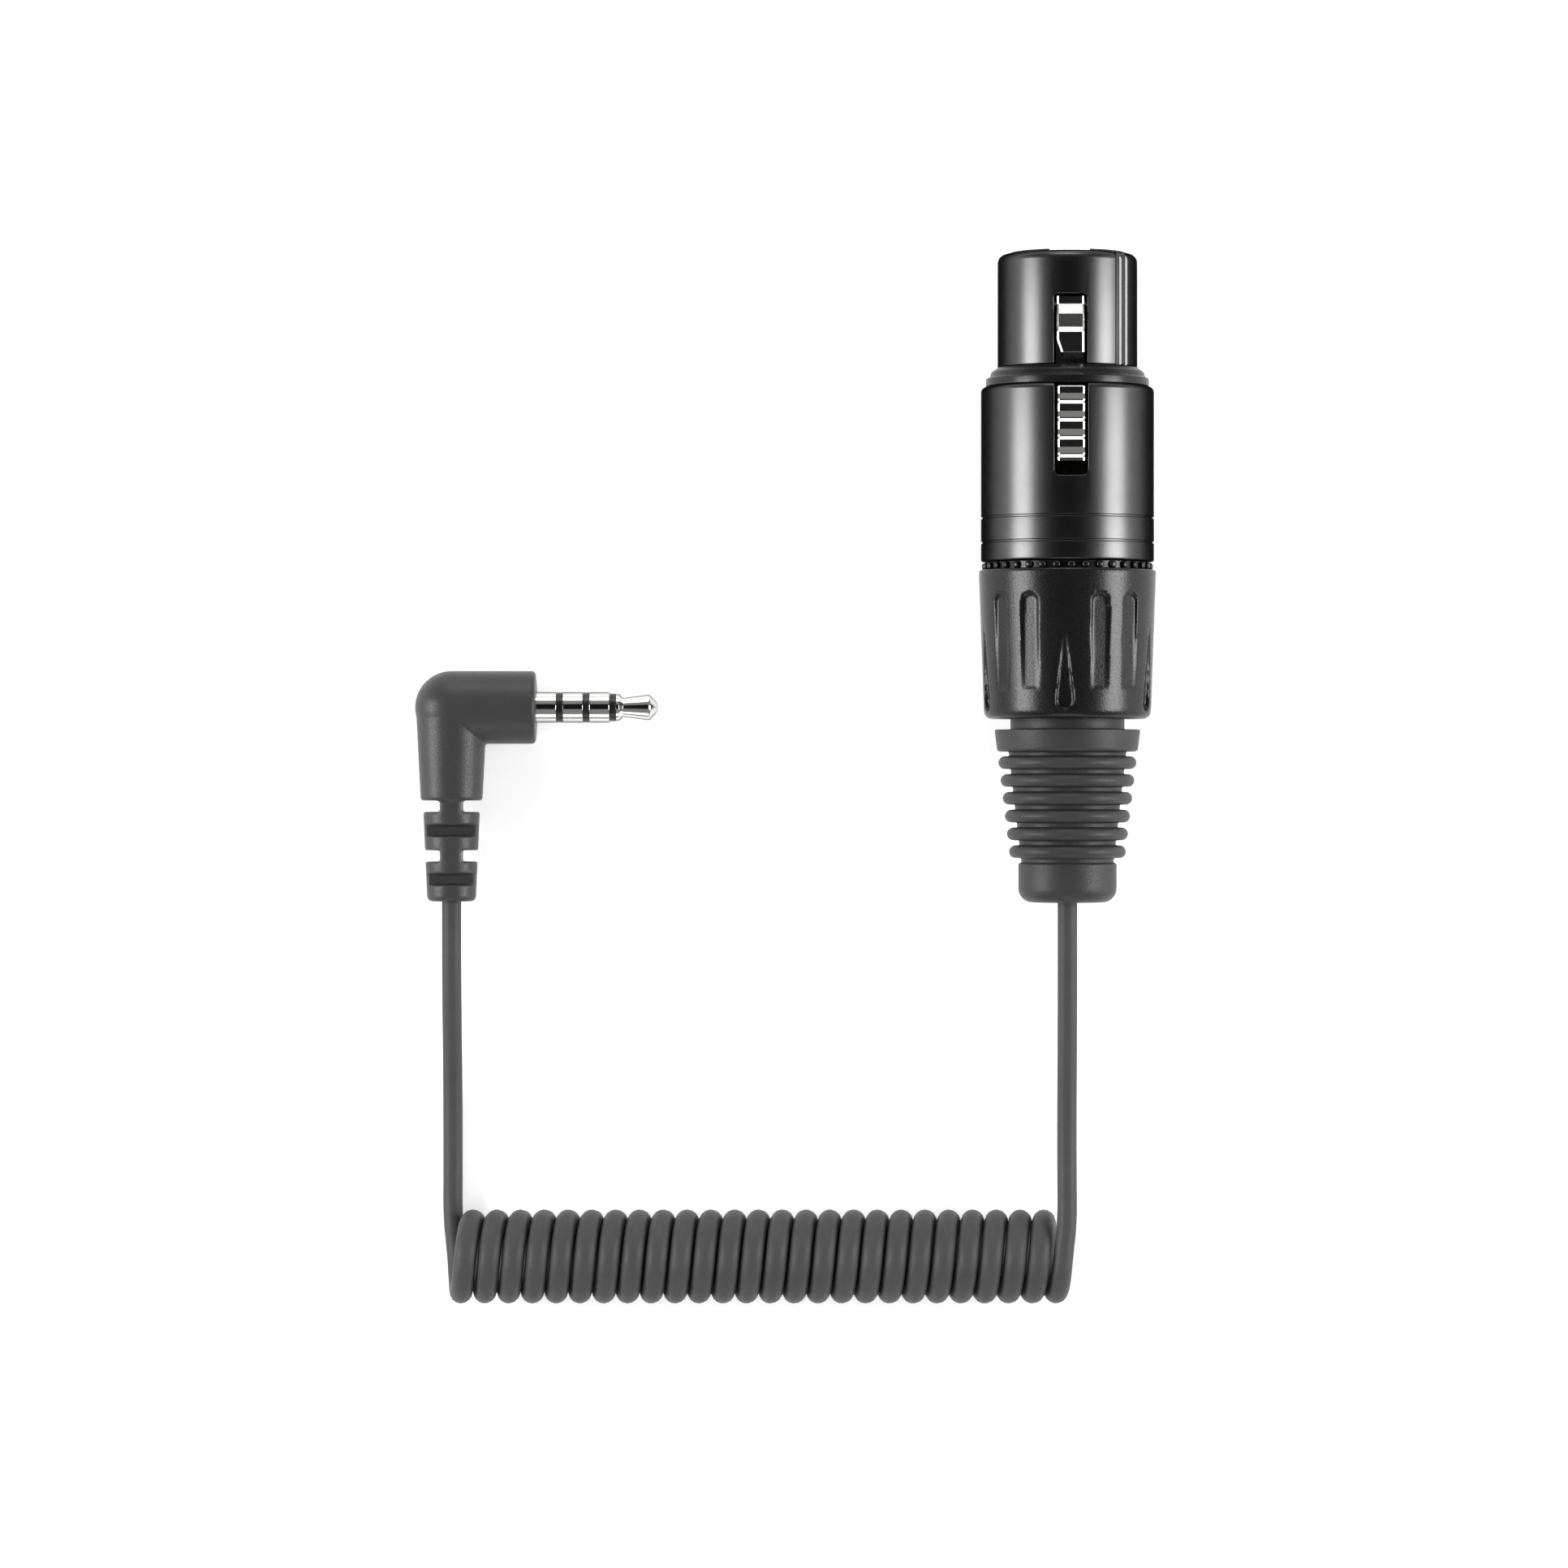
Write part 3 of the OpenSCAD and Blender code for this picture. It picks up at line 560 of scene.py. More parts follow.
def carve(bm, tools, least=0.02):
    """A solid less its tools. Edges shorter than the least that the cuts leave are closed up."""
    solid = scratch_object(bm)
    cutter = scratch_object(joined(tools))
    change = solid.modifiers.new("cut", "BOOLEAN")
    change.operation = "DIFFERENCE"
    change.solver = "EXACT"
    change.object = cutter
    result = shaped(solid, cutter)
    bmesh.ops.remove_doubles(result, verts=result.verts, dist=least)
    bmesh.ops.dissolve_degenerate(result, dist=least / 2, edges=result.edges)
    return result


def united(parts):
    """One closed skin round overlapping solids."""
    whole, *rest = [scratch_object(part) for part in parts]
    for i, part in enumerate(rest):
        change = whole.modifiers.new(f"union {i}", "BOOLEAN")
        change.operation = "UNION"
        change.solver = "EXACT"
        change.object = part
    return shaped(whole, *rest)


def skinned(bm, cell):
    """A solid's skin made new of cells of one size, with its edges rounded by about as much."""
    solid = scratch_object(bm)
    remesh = solid.modifiers.new("skin", "REMESH")
    remesh.mode = "VOXEL"
    remesh.voxel_size = cell
    skin = shaped(solid)
    for _ in range(3):
        bmesh.ops.smooth_vert(
            skin, verts=skin.verts, factor=0.5, use_axis_x=True, use_axis_y=True, use_axis_z=True
        )
    return skin


def piece(name, bm, place, material, body, nodes, sharp=35):
    """Places a mesh in the model and gives it its material and, when one is named, its body.

    It stands for its CAD nodes. Edges that turn by more than sharp degrees are shaded as edges."""
    bm.transform(place)
    mesh = bpy.data.meshes.new(name)
    bm.to_mesh(mesh)
    bm.free()
    mesh.materials.append(material)
    mesh.shade_smooth()
    mesh.set_sharp_from_angle(angle=radians(sharp))
    obj = bpy.data.objects.new(name, mesh)
    bpy.context.scene.collection.objects.link(obj)
    if body:
        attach(obj, body)
    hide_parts(*nodes)
    return obj


def finish_node(node, material):
    """Gives a CAD node that is kept its material."""
    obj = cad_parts[node]
    if not obj.material_slots:
        obj.data.materials.append(material)
    for material_slot in obj.material_slots:
        material_slot.material = material


# ---- XLR connector -----------------------------------------------------------------------------

# Turns a flat outline: upright, so that its Y runs along the connector and its height inwards, or
# sideways, so that its X runs along the connector and its height across
UPRIGHT = Matrix.Rotation(radians(90), 4, "X")
SIDEWAYS = Matrix.Rotation(radians(-90), 4, "Y")
# Turns a lathed piece's axis across the connector
ACROSS = Matrix.Rotation(radians(90), 4, "Y")
KEY_TURN = Matrix.Rotation(radians(-47), 4, "Z")

# In metres
INSERT_RIM = 0.00008
NOSE_R = 7.95
BODY_R = 9.85
SPIGOT_R = 8.9
# Two shallow grooves round the body: where each starts, is deep, is still deep, and ends
GROOVE_R = 9.7
GROOVES = ((29.88, 29.9, 30.13, 30.15), (32.68, 32.7, 32.93, 32.95))
SLOT_WIDTH = 3.8
SLOT_FRONT = 5.0
SLOT_REAR = 25.54
LATCH_W = 3.2
TAB_FRONT = BODY_FRONT + 0.25
TAB_REAR = LATCH[1]
TAB_TOP = 9.62
# The tab's ridges: their number, their pitch, the last one's distance from the tab's rear, and the
# outline of one as (along, up)
RIDGES = 4
RIDGE_PITCH = 2.02
RIDGE_REAR = 1.54
RIDGE = ((0, 0), (0.7, 0.24), (0.83, 0.24), (1.2, 0))
TEETH_COUNT = 36
TOOTH_R = 9.75
NUT_R = radius_of("back_nut")
NUT_REAR_R = NUT_R - 0.57
NUT_CELL = 0.175
FLUTE_W = 2.05
FLUTE_LENGTH = 9.8
FLUTE_TURN = 4.3
FLUTE_GROUPS = 5
# Degrees from a drop to the slot on either side of it
FLUTE_STEP = 24
BOOT_RIBS = 6
RIB_PITCH = 2.03
RIB_R = 7.85
# How much smaller each rib is than the one before it
RIB_TAPER = 0.24
RIB_HALF_W = 0.72
BOOT_CORE_R = 6.7
CUP_R = 5.6
CUP_LENGTH = 4.52


def shell_mesh(sizes):
    """Nose, body and spigot in one, with the latch's slot and the key's slot."""
    bore = 6.9
    body = [(7.5, BODY_FRONT), (BODY_R, BODY_FRONT, 0.6)]
    for start, deep, shallow, end in GROOVES:
        body += [
            (BODY_R, start, 0.05), (GROOVE_R, deep, 0.05), (GROOVE_R, shallow, 0.05),
            (BODY_R, end, 0.05),
        ]
    bm = turned([
        (bore, 0, 0.09), (NOSE_R, 0, 0.95), (NOSE_R, COLLAR[0] - 0.03, 0.15),
        (7.5, COLLAR[0] - 0.03), *body, (BODY_R, BODY_REAR, 0.25), (SPIGOT_R, BODY_REAR),
        (SPIGOT_R, SPIGOT_END, 0.2), (8.2, SPIGOT_END), (8.2, 16.5), (bore, 16.5),
    ], sizes.turn_steps)
    half = SLOT_WIDTH / 2
    window = outline([
        (-half, SLOT_FRONT, 0.45), (half, SLOT_FRONT, 0.45), (half, SLOT_REAR, 0.65),
        (-half, SLOT_REAR, 0.65),
    ], closed=True)
    slot = moved(prism(window, 8), Matrix.Translation((0, 12, 0)) @ UPRIGHT)
    bm = soften(carve(bm, [slot], FINE_EDGE), sizes.rim / MM, segments=6, clamp=False)
    # The key's channel has a rib in it. The rib and the channel's outer wall are bevelled on the
    # side that faces up
    keys = [
        moved(prism(points, COLLAR[0] + 1.1), Matrix.Translation((0, 0, -1)) @ KEY_TURN)
        for points in (
            [(-0.93, 7.1), (-0.21, 7.1), (-0.21, 7.87), (0.25, 8), (0.25, 9), (-0.93, 9)],
            [(0.53, 7.1), (0.93, 7.1), (0.93, 7.776), (1.5, 7.933), (1.5, 9), (0.53, 9)],
        )
    ]
    return carve(bm, keys, FINE_EDGE)


def collar_mesh(sizes):
    """Ring in the groove between nose and body."""
    front, rear = COLLAR
    return turned([
        (7.53, front), (8, front, 0.05), (8.7, front + 0.5, 0.25), (8.85, front + 1.05, 0.12),
        (9.28, front + 1.25, 0.15), (9.3, rear, 0.14), (7.53, rear),
    ], sizes.turn_steps)


def refined(node, rim):
    """A merged copy of a CAD node with its flat faces whole and its edges rounded, in metres."""
    bm = bmesh.new()
    bm.from_mesh(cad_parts[node].data)
    bmesh.ops.remove_doubles(bm, verts=bm.verts, dist=0.000002)
    bmesh.ops.dissolve_limit(bm, angle_limit=radians(1), verts=bm.verts, edges=bm.edges)
    bmesh.ops.recalc_face_normals(bm, faces=bm.faces)
    return soften(bm, rim)


def latch_mesh():
    """Lever of the latch: a hook, a low neck under the collar ring and a tab with ridges."""
    side = [
        (5.3, 5.05, 0.8), (5.3, 7.58), (6.15, 7.6), (7.3, 8.12), (8.8, 8.34), (9.35, 7.98),
        (11.6, 7.96), (12, 7.55), (12.05, 6.35), (TAB_FRONT - 0.2, 6.35),
        (TAB_FRONT, TAB_TOP - 0.5), (TAB_FRONT + 0.2, TAB_TOP),
    ]
    for i in range(RIDGES):
        start = TAB_REAR - RIDGE_REAR - (RIDGES - 1 - i) * RIDGE_PITCH
        side += [(start + along, TAB_TOP + up) for along, up in RIDGE]
    side += [
        (TAB_REAR, TAB_TOP - 0.05), (TAB_REAR, TAB_TOP - 1.2), (TAB_FRONT + 0.9, TAB_TOP - 1.2),
        (TAB_FRONT + 0.6, 5.5, 0.2), (11.9, 5.5, 0.2), (7.4, 5.25, 0.3),
    ]
    half = LATCH_W / 2
    lever = prism(outline(side, closed=True), LATCH_W)
    bm = moved(lever, Matrix.Translation((half, 0, 0)) @ SIDEWAYS)
    hole = lathe([(0, 0), (0.45, 0), (0.45, 5), (0, 5)], steps=32)
    hole = moved(hole, Matrix.Translation((-2.5, 5.9, 5.9)) @ ACROSS)
    # The hook's rear corner on one side is cut off
    corner = moved(
        prism([(-half - 0.1, 10), (-half + 0.7, 12.3), (-half - 0.1, 12.3)], 2.6),
        Matrix.Translation((0, 9, 0)) @ UPRIGHT,
    )
    bm = carve(bm, [hole, corner], FINE_EDGE)
    # The long edges at the lever's sides are bevelled, then the edges across its top are rounded a
    # little. Sides is how many of an edge's two faces belong to the lever's sides
    for sides, width, segments in ((1, 0.26, 2), (0, 0.03, 1)):
        edges = [
            e for e in bm.edges
            if len(e.link_faces) == 2 and e.calc_face_angle() > radians(20)
            and sum(abs(f.normal.x) > 0.3 for f in e.link_faces) == sides
            and min(v.co.y for v in e.verts) > 6.5
            and min(f.normal.y for f in e.link_faces) > -0.1
        ]
        bmesh.ops.bevel(
            bm, geom=edges, offset=width, offset_type="OFFSET", segments=segments, profile=0.4,
            affect="EDGES", clamp_overlap=False, material=-1,
        )
    return bm


def toothed_mesh(sizes):
    """Toothed ring in front of the back nut."""
    front, rear = TEETH
    tooth = soften(block((9.1, -0.42, front + 0.1), (TOOTH_R, 0.4, rear)), 0.24, segments=3)
    teeth = []
    for i in range(TEETH_COUNT):
        teeth.append(moved(tooth.copy(), Matrix.Rotation(2 * pi * i / TEETH_COUNT, 4, "Z")))
    tooth.free()
    ring = turned(
        [(8.95, front), (9.3, front, 0.1), (9.3, rear), (8.95, rear)], sizes.turn_steps
    )
    return joined([ring, *teeth])


def flute_tools():
    """Cutters of the nut's flutes: groups of a drop between two slots."""
    half = FLUTE_W / 2
    front, rear = NUT
    slot = prism(outline([
        (-half, -FLUTE_LENGTH), (half, -FLUTE_LENGTH), (half, half, half - 0.01),
        (-half, half, half - 0.01),
    ], closed=True), 3)
    slot = moved(slot, (
        Matrix.Translation((0, NUT_R - 0.5, front + 2.85))
        @ Matrix.Rotation(radians(-89.5), 4, "X") @ Matrix.Translation((0, -half, 0))
    ))
    drop = prism(outline([
        (half, 0), (0, FLUTE_LENGTH, 0.1), (-half, 0), (-half, -half, half - 0.01),
        (half, -half, half - 0.01),
    ], closed=True), 3)
    drop = moved(drop, (
        Matrix.Translation((0, NUT_REAR_R - 0.65, rear - 0.95))
        @ Matrix.Rotation(radians(-84.6), 4, "X") @ Matrix.Translation((0, half, 0))
    ))
    tools = []
    for group in range(FLUTE_GROUPS):
        for tool, angle in ((drop, 0), (slot, -FLUTE_STEP), (slot, FLUTE_STEP)):
            angle += group * (360 // FLUTE_GROUPS) + FLUTE_TURN
            tools.append(moved(tool.copy(), Matrix.Rotation(radians(angle), 4, "Z")))
    slot.free()
    drop.free()
    return tools


def nut_mesh(sizes):
    """Back nut: fluted outside, with a plain bore for its thread, a cone and the bead's groove."""
    front, rear = NUT
    bm = turned([
        (8.95, front, 0.2), (NUT_R, front, 0.25), (NUT_REAR_R, rear - 1.1, 4),
        (NUT_REAR_R - 0.1, rear, 0.85), (6.6, rear, 0.2), (6.6, rear - 1.5), (7.4, rear - 1.5),
        (7.4, rear - 3.5), (6.3, rear - 3.5), (8, SPIGOT_END + 0.9), (8.95, SPIGOT_END + 0.9),
    ], sizes.turn_steps)
    return skinned(carve(bm, flute_tools(), FINE_EDGE), NUT_CELL)


def boot_mesh(sizes):
    """Boot: bead, neck, flange, ribs and end cup."""
    flange = NUT[1] + 1.2
    ribs = flange + 2.5
    cup = BOOT_END - CUP_LENGTH
    corners = [
        (4, NUT[1] - 3.2), (7.3, NUT[1] - 3.2, 0.4), (7.3, NUT[1] - 1.6, 0.4),
        (6.5, NUT[1] - 1.6), (6.5, flange, 0.15), (8.3, flange, 0.12), (8, ribs, 0.4),
        (BOOT_CORE_R, ribs, 0.2),
    ]
    for i in range(BOOT_RIBS):
        centre = ribs + 0.25 + (i + 0.5) * RIB_PITCH
        reach = RIB_R - RIB_TAPER * i
        core = BOOT_CORE_R - 1.45 * (centre - ribs) / (cup - ribs)
        corners += [
            (core + 0.08, centre - RIB_HALF_W, 0.15), (reach, centre - RIB_HALF_W, 0.7),
            (reach, centre + RIB_HALF_W, 0.7), (core - 0.08, centre + RIB_HALF_W, 0.15),
        ]
    corners += [
        (5.25, cup, 0.1), (CUP_R, cup, 0.25), (CUP_R, BOOT_END, 1.6), (1.25, BOOT_END, 0.15),
        (1.25, cup - 1), (4, cup - 1),
    ]
    return turned(corners, sizes.turn_steps)


# ---- Angled plug -------------------------------------------------------------------------------

STEM_R = 3.55
STEM_END = 10.7
RELIEF_END = (PLUG_CORNER.y - PLUG_LOW.y) / MM
MOULDING_CELL = 0.13
# Slots cut into the strain relief: across it and from above and below, by their distance from the
# stem's end, and then their width and how far from the axis their cutters' middles lie
SIDE_SLOTS = (0, 5.7)
UPRIGHT_SLOTS = (2.8, 8.4)
RELIEF_SLOT_W = 1.3
RELIEF_SLOT_OFFSET = 11.2
PIN_R = 1.75
# Where the moulding's face and the pin's collar stand, from the end of the sleeve's CAD node
PLUG_FACE = along_pin("jack_sleeve")[1] - 2.35
# The pin's nested tubes: the innermost one's inside, their pitch and their wall
TUBE_INSIDE = 0.43
TUBE_PITCH = 0.18
TUBE_WALL = 0.15
# Lengths of the heads that show
RING_HEAD = 2.3
INSULATOR_HEAD = 0.69


def moulding_mesh():
    """The plug's moulding with its cut strain relief, as one skin with soft edges."""
    arm = lathe(outline([
        (0, 0), (PLUG_R / MM, 0), (PLUG_R / MM, PLUG_FACE, 0.45), (0, PLUG_FACE)
    ]))
    elbow = bmesh.new()
    bmesh.ops.create_uvsphere(
        elbow, u_segments=PLUG_STEPS, v_segments=PLUG_STEPS // 2, radius=PLUG_R / MM
    )
    to_stem = PIN.inverted() @ STEM
    stem = lathe(outline([(0, 0), (4.1, 0), (STEM_R, STEM_END, 0.3), (0, STEM_END)]))
    relief = lathe(outline([
        (0, STEM_END - 1), (STEM_R - 0.2, STEM_END - 1), (2.8, RELIEF_END, 0.6), (0, RELIEF_END)
    ]))
    solid = united([arm, elbow, moved(stem, to_stem), moved(relief, to_stem)])
    tools = []
    for gap in SIDE_SLOTS:
        z = STEM_END + gap
        for s in (-RELIEF_SLOT_OFFSET, RELIEF_SLOT_OFFSET):
            tools.append(block((s - 10, -10, z), (s + 10, 10, z + RELIEF_SLOT_W)))
    for gap in UPRIGHT_SLOTS:
        z = STEM_END + gap
        for s in (-RELIEF_SLOT_OFFSET, RELIEF_SLOT_OFFSET):
            tools.append(block((-10, s - 10, z), (10, s + 10, z + RELIEF_SLOT_W)))
    tools.append(lathe(
        [(0, -1), (2.4, -1), (2.4, STEM_END - 1.8), (0, STEM_END - 1.8)], steps=BORE_STEPS
    ))
    tools.append(lathe(
        [(0, STEM_END - 3), (1.13, STEM_END - 3), (1.13, 30), (0, 30)], steps=BORE_STEPS
    ))
    tools = [moved(tool, to_stem) for tool in tools]
    tools.append(lathe([
        (0, -1), (3, -1), (3, PLUG_FACE - 0.8), (2.18, PLUG_FACE - 0.8), (2.18, PLUG_FACE - 0.5),
        (1.58, PLUG_FACE - 0.5), (1.58, 30), (0, 30)
    ], steps=BORE_STEPS))
    return skinned(carve(solid, tools), MOULDING_CELL)


def pin_sections():
    """The pin's pieces as (name, CAD node, corners): nested tubes whose heads are its rings."""
    root, tip = along_pin("jack_tip")
    neck = tip - 4.8
    sections = [("tip", "jack_tip", [
        (0, root), (0.4, root), (0.4, neck), (1.55, neck, 0.05), (1.55, neck + 0.35, 0.08),
        (1.1, neck + 0.8, 0.05), (1.1, neck + 0.95, 0.1), (1.48, tip - 1.05, 0.06),
        (1.38, tip - 0.85, 0.06), (0.5, tip - 0.05, 0.1), (0, tip),
    ])]
    # Each tube, from the innermost, with the radius of its head
    tubes = (
        ("insulator_1", 1.6), ("ring_1", PIN_R), ("insulator_2", 1.72), ("ring_2", PIN_R),
        ("insulator_3", 1.72),
    )
    for i, (name, head_r) in enumerate(tubes):
        node = "jack_" + name
        tail, end = along_pin(node)
        insulator = "insulator" in name
        head = end - (INSULATOR_HEAD if insulator else RING_HEAD)
        rim = 0.02 if insulator else 0.07
        inside = TUBE_INSIDE + TUBE_PITCH * i
        sections.append((name, node, [
            (inside, tail), (inside + TUBE_WALL, tail), (inside + TUBE_WALL, head),
            (head_r, head, rim), (head_r, end, rim), (inside, end),
        ]))
    tail, end = along_pin("jack_sleeve")
    sections.append(("sleeve", "jack_sleeve", [
        (1.33, tail), (2.15, tail), (2.15, PLUG_FACE - 0.53), (1.55, PLUG_FACE - 0.53),
        (1.55, PLUG_FACE), (PIN_R, PLUG_FACE), (PIN_R, end, 0.07), (1.33, end),
    ]))
    return sections


# ---- Cord --------------------------------------------------------------------------------------

def smoothed(points):
    """More points on the smooth curve through some points."""
    found = []
    last = len(points) - 1
    for i in range(last):
        p0, p1, p2, p3 = (Vector(points[min(max(k, 0), last)]) for k in (i - 1, i, i + 1, i + 2))
        for k in range(TAIL_STEPS):
            t = k / TAIL_STEPS
            found.append(
                0.5 * (2 * p1 + (p2 - p0) * t + (2 * p0 - 5 * p1 + 4 * p2 - p3) * t ** 2
                       + (3 * p1 - p0 - 3 * p2 + p3) * t ** 3)
            )
    found.append(Vector(points[-1]))
    return found


def cord_route():
    """The cord's middle line in mm, from the boot to the plug: right tail, curls and left tail."""
    x, y, z = RIGHT_ROUTE[0]
    right = [(x, y + CORD_TUCK, z), *RIGHT_ROUTE]
    x, y, z = LEFT_ROUTE[0]
    left = [*reversed(LEFT_ROUTE), (x, y + CORD_TUCK, z)]
    curls = []
    for i in range(int(CURL_TURNS * CURL_STEPS), -1, -1):
        turns = i / CURL_STEPS
        angle = 2 * pi * turns
        curls.append(Vector((
            CURL_START_X + (CURL_END_X - CURL_START_X) * turns / CURL_TURNS,
            CURL_AXIS_Y - CURL_R * sin(angle), CURL_AXIS_Z - CURL_R * cos(angle),
        )))
    return smoothed(right), curls, smoothed(left)


def cord_tube(points, radii):
    """A closed tube along points, made by extruding a circle from each point to the next."""
    bm = bmesh.new()
    heading = (points[1] - points[0]).normalized()
    turn = Vector((0, 0, 1)).rotation_difference(heading)
    start = Matrix.Translation(points[0]) @ turn.to_matrix().to_4x4()
    ring = bmesh.ops.create_circle(
        bm, cap_ends=True, radius=1, segments=CORD_SIDES, matrix=start
    )["verts"]
    edges = list(bm.edges)
    bmesh.ops.scale(bm, vec=(radii[0],) * 3, space=Matrix.Translation(-points[0]), verts=ring)
    for i in range(1, len(points)):
        after = (points[min(i + 1, len(points) - 1)] - points[i - 1]).normalized()
        bend = heading.rotation_difference(after)
        grown = bmesh.ops.extrude_edge_only(bm, edges=edges)["geom"]
        ring = [g for g in grown if isinstance(g, bmesh.types.BMVert)]
        edges = [
            g for g in grown
            if isinstance(g, bmesh.types.BMEdge) and g.verts[0] in ring and g.verts[1] in ring
        ]
        step = (
            Matrix.Translation(points[i]) @ bend.to_matrix().to_4x4()
            @ Matrix.Scale(radii[i] / radii[i - 1], 4) @ Matrix.Translation(-points[i - 1])
        )
        bmesh.ops.transform(bm, matrix=step, verts=ring)
        heading = after
    bmesh.ops.holes_fill(bm, edges=edges, sides=CORD_SIDES)
    bmesh.ops.recalc_face_normals(bm, faces=bm.faces)
    return bm


def even_stretch(obj, points, start, end):
    """Gathers each of the cord's rings at one point on the line from start to end, and puts it
    back.

    The point is set by the ring's place along the cord, where a curve that is steeper in the middle
    gives the ring's own share of the way. While the rings are gathered, the object's transform is
    baked into its mesh."""
    verts = obj.data.vertices
    true_places = [v.co.copy() for v in verts]
    for i, v in enumerate(verts):
        x = points[min(i // CORD_SIDES, len(points) - 1)].x * MM
        share = min(max((x - start.x) / (end.x - start.x), 0), 1)
        curve = 0.5 - sin(asin(1 - 2 * share) / 3)
        v.co = start + (end - start) * curve
    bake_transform(obj)
    for v, place in zip(verts, true_places):
        v.co = place


# ---- Stage -------------------------------------------------------------------------------------

# Name, place, power, width and height
LAMPS = (
    ("lamp_left", (-0.9, -0.02, 0.44), 11, 0.45, 0.46),
    ("lamp_right", (0.9, -0.02, 0.44), 11, 0.45, 0.46),
    ("lamp_back", (0, 0.89, 0.41), 3.2, 0.55, 0.35),
    ("lamp_front", (0, -0.93, 0.41), 1.6, 0.55, 0.35),
)
LAMP_AIM = Vector((0, -0.02, 0))
# How far the floor and the card reach from their middles
FLOOR_REACH = (6, 6)
CARD_REACH = (0.5, 0.29)
CARD_PLACE = (0, 0.07, 0.8)
FLOOR_GLOW = 0.42
CAMERA_PLACE = (0, -0.0235, 0.71)
CAMERA_LENS = 141
CAMERA_SENSOR = 36


def dark_card():
    # Black card above the cable, which keeps its upper sides dark: felt-like, without shine
    material, output = new_material("black card")
    felt = add(material, "ShaderNodeBsdfDiffuse", {"Color": (0.004, 0.004, 0.004, 1)})
    material.node_tree.links.new(felt.outputs["BSDF"], output.inputs["Surface"])
    return material


def seen_ray(material):
    """1 for a ray from the camera, from a glossy surface or through glass, and 0 for any other."""
    path = add(material, "ShaderNodeLightPath")
    glossy = add(
        material, "ShaderNodeMath", {"operation": "MAXIMUM"},
        {0: path.outputs["Is Camera Ray"], 1: path.outputs["Is Glossy Ray"]},
    )
    seen = add(
        material, "ShaderNodeMath", {"operation": "MAXIMUM"},
        {0: glossy.outputs[0], 1: path.outputs["Is Transmission Ray"]},
    )
    return seen.outputs[0]


def pale_floor():
    # Matt white paper: it takes the cable's shadow, and glows a little where it is seen
    material, output = new_material("white paper")
    paper = add(material, "ShaderNodeBsdfDiffuse", {"Color": (0.8, 0.8, 0.8, 1)})
    glow = add(material, "ShaderNodeEmission", {"Color": (1, 1, 1, 1)})
    strength = add(
        material, "ShaderNodeMath", {"operation": "MULTIPLY", 1: FLOOR_GLOW},
        {0: seen_ray(material)},
    )
    material.node_tree.links.new(strength.outputs[0], glow.inputs["Strength"])
    both = add(
        material, "ShaderNodeAddShader", None,
        {0: paper.outputs["BSDF"], 1: glow.outputs["Emission"]},
    )
    material.node_tree.links.new(both.outputs["Shader"], output.inputs["Surface"])
    return material


def studio_world(scene):
    """A soft light from all round: white at the horizon and grey overhead."""
    world = bpy.data.worlds.new("studio")
    world.use_nodes = True
    world.node_tree.nodes.clear()
    output = add(world, "ShaderNodeOutputWorld")
    heading = add(world, "ShaderNodeTexCoord").outputs["Generated"]
    height = add(world, "ShaderNodeSeparateXYZ", None, {"Vector": heading}).outputs["Z"]
    # By the sine of a direction's height: white up to the first value, and grey from the second
    strength = add(
        world, "ShaderNodeMapRange",
        {"From Min": 0.08, "From Max": 0.25, "To Min": 1.0, "To Max": 0.26}, {"Value": height},
    )
    light = add(
        world, "ShaderNodeBackground", {"Color": (1, 1, 1, 1)},
        {"Strength": strength.outputs["Result"]},
    )
    world.node_tree.links.new(light.outputs["Background"], output.inputs["Surface"])
    scene.world = world


def stage_plane(name, place, reach, material):
    """A flat rectangle that reaches so far from its middle along X and along Y."""
    bm = bmesh.new()
    spread = Matrix.Translation(place) @ Matrix.Diagonal((*reach, 1, 1))
    bmesh.ops.create_grid(bm, x_segments=1, y_segments=1, size=1, matrix=spread)
    mesh = bpy.data.meshes.new(name)
    bm.to_mesh(mesh)
    bm.free()
    mesh.materials.append(material)
    obj = bpy.data.objects.new(name, mesh)
    bpy.context.scene.collection.objects.link(obj)
    return obj


def softbox(scene, name, place, power, width, height):
    """A rectangular lamp that looks at the middle of the cable."""
    lamp = bpy.data.lights.new(name, "AREA")
    lamp.shape = "RECTANGLE"
    lamp.size = width
    lamp.size_y = height
    lamp.energy = power
    obj = bpy.data.objects.new(name, lamp)
    aim = (LAMP_AIM - place).to_track_quat("-Z", "Y")
    obj.rotation_euler = aim.to_euler()
    obj.location = place
    scene.collection.objects.link(obj)


# ---- Operators ---------------------------------------------------------------------------------

class CABLE_OT_cord(bpy.types.Operator):
    """Builds the cord as one tube: two straight tails and the curls between them"""

    bl_idname = "cable.cord"
    bl_label = "Cord"

    def execute(self, context):
        sizes = context.scene.cable_sizes
        right, curls, left = cord_route()
        points = right + curls + left
        thin, thick = sizes.cord_d / MM / 2, sizes.curl_d / MM / 2
        radii = []
        for i in range(len(points)):
            # The cord swells to its curled thickness over the first and the last quarter turn
            steps_in = min(i - len(right), len(right) + len(curls) - i)
            into = min(max(steps_in / (CURL_STEPS / 4), 0), 1)
            radii.append(thin + (thick - thin) * into)
        obj = piece(
            "cord", cord_tube(points, radii), Matrix.Scale(MM, 4),
            cord_jacket(context.scene.cable_colours), body=None,
            nodes=("cord_left", "cord_curls", "cord_right"), sharp=60,
        )
        even_stretch(obj, points, Vector(STRETCH_START), Vector(STRETCH_END))
        return {"FINISHED"}


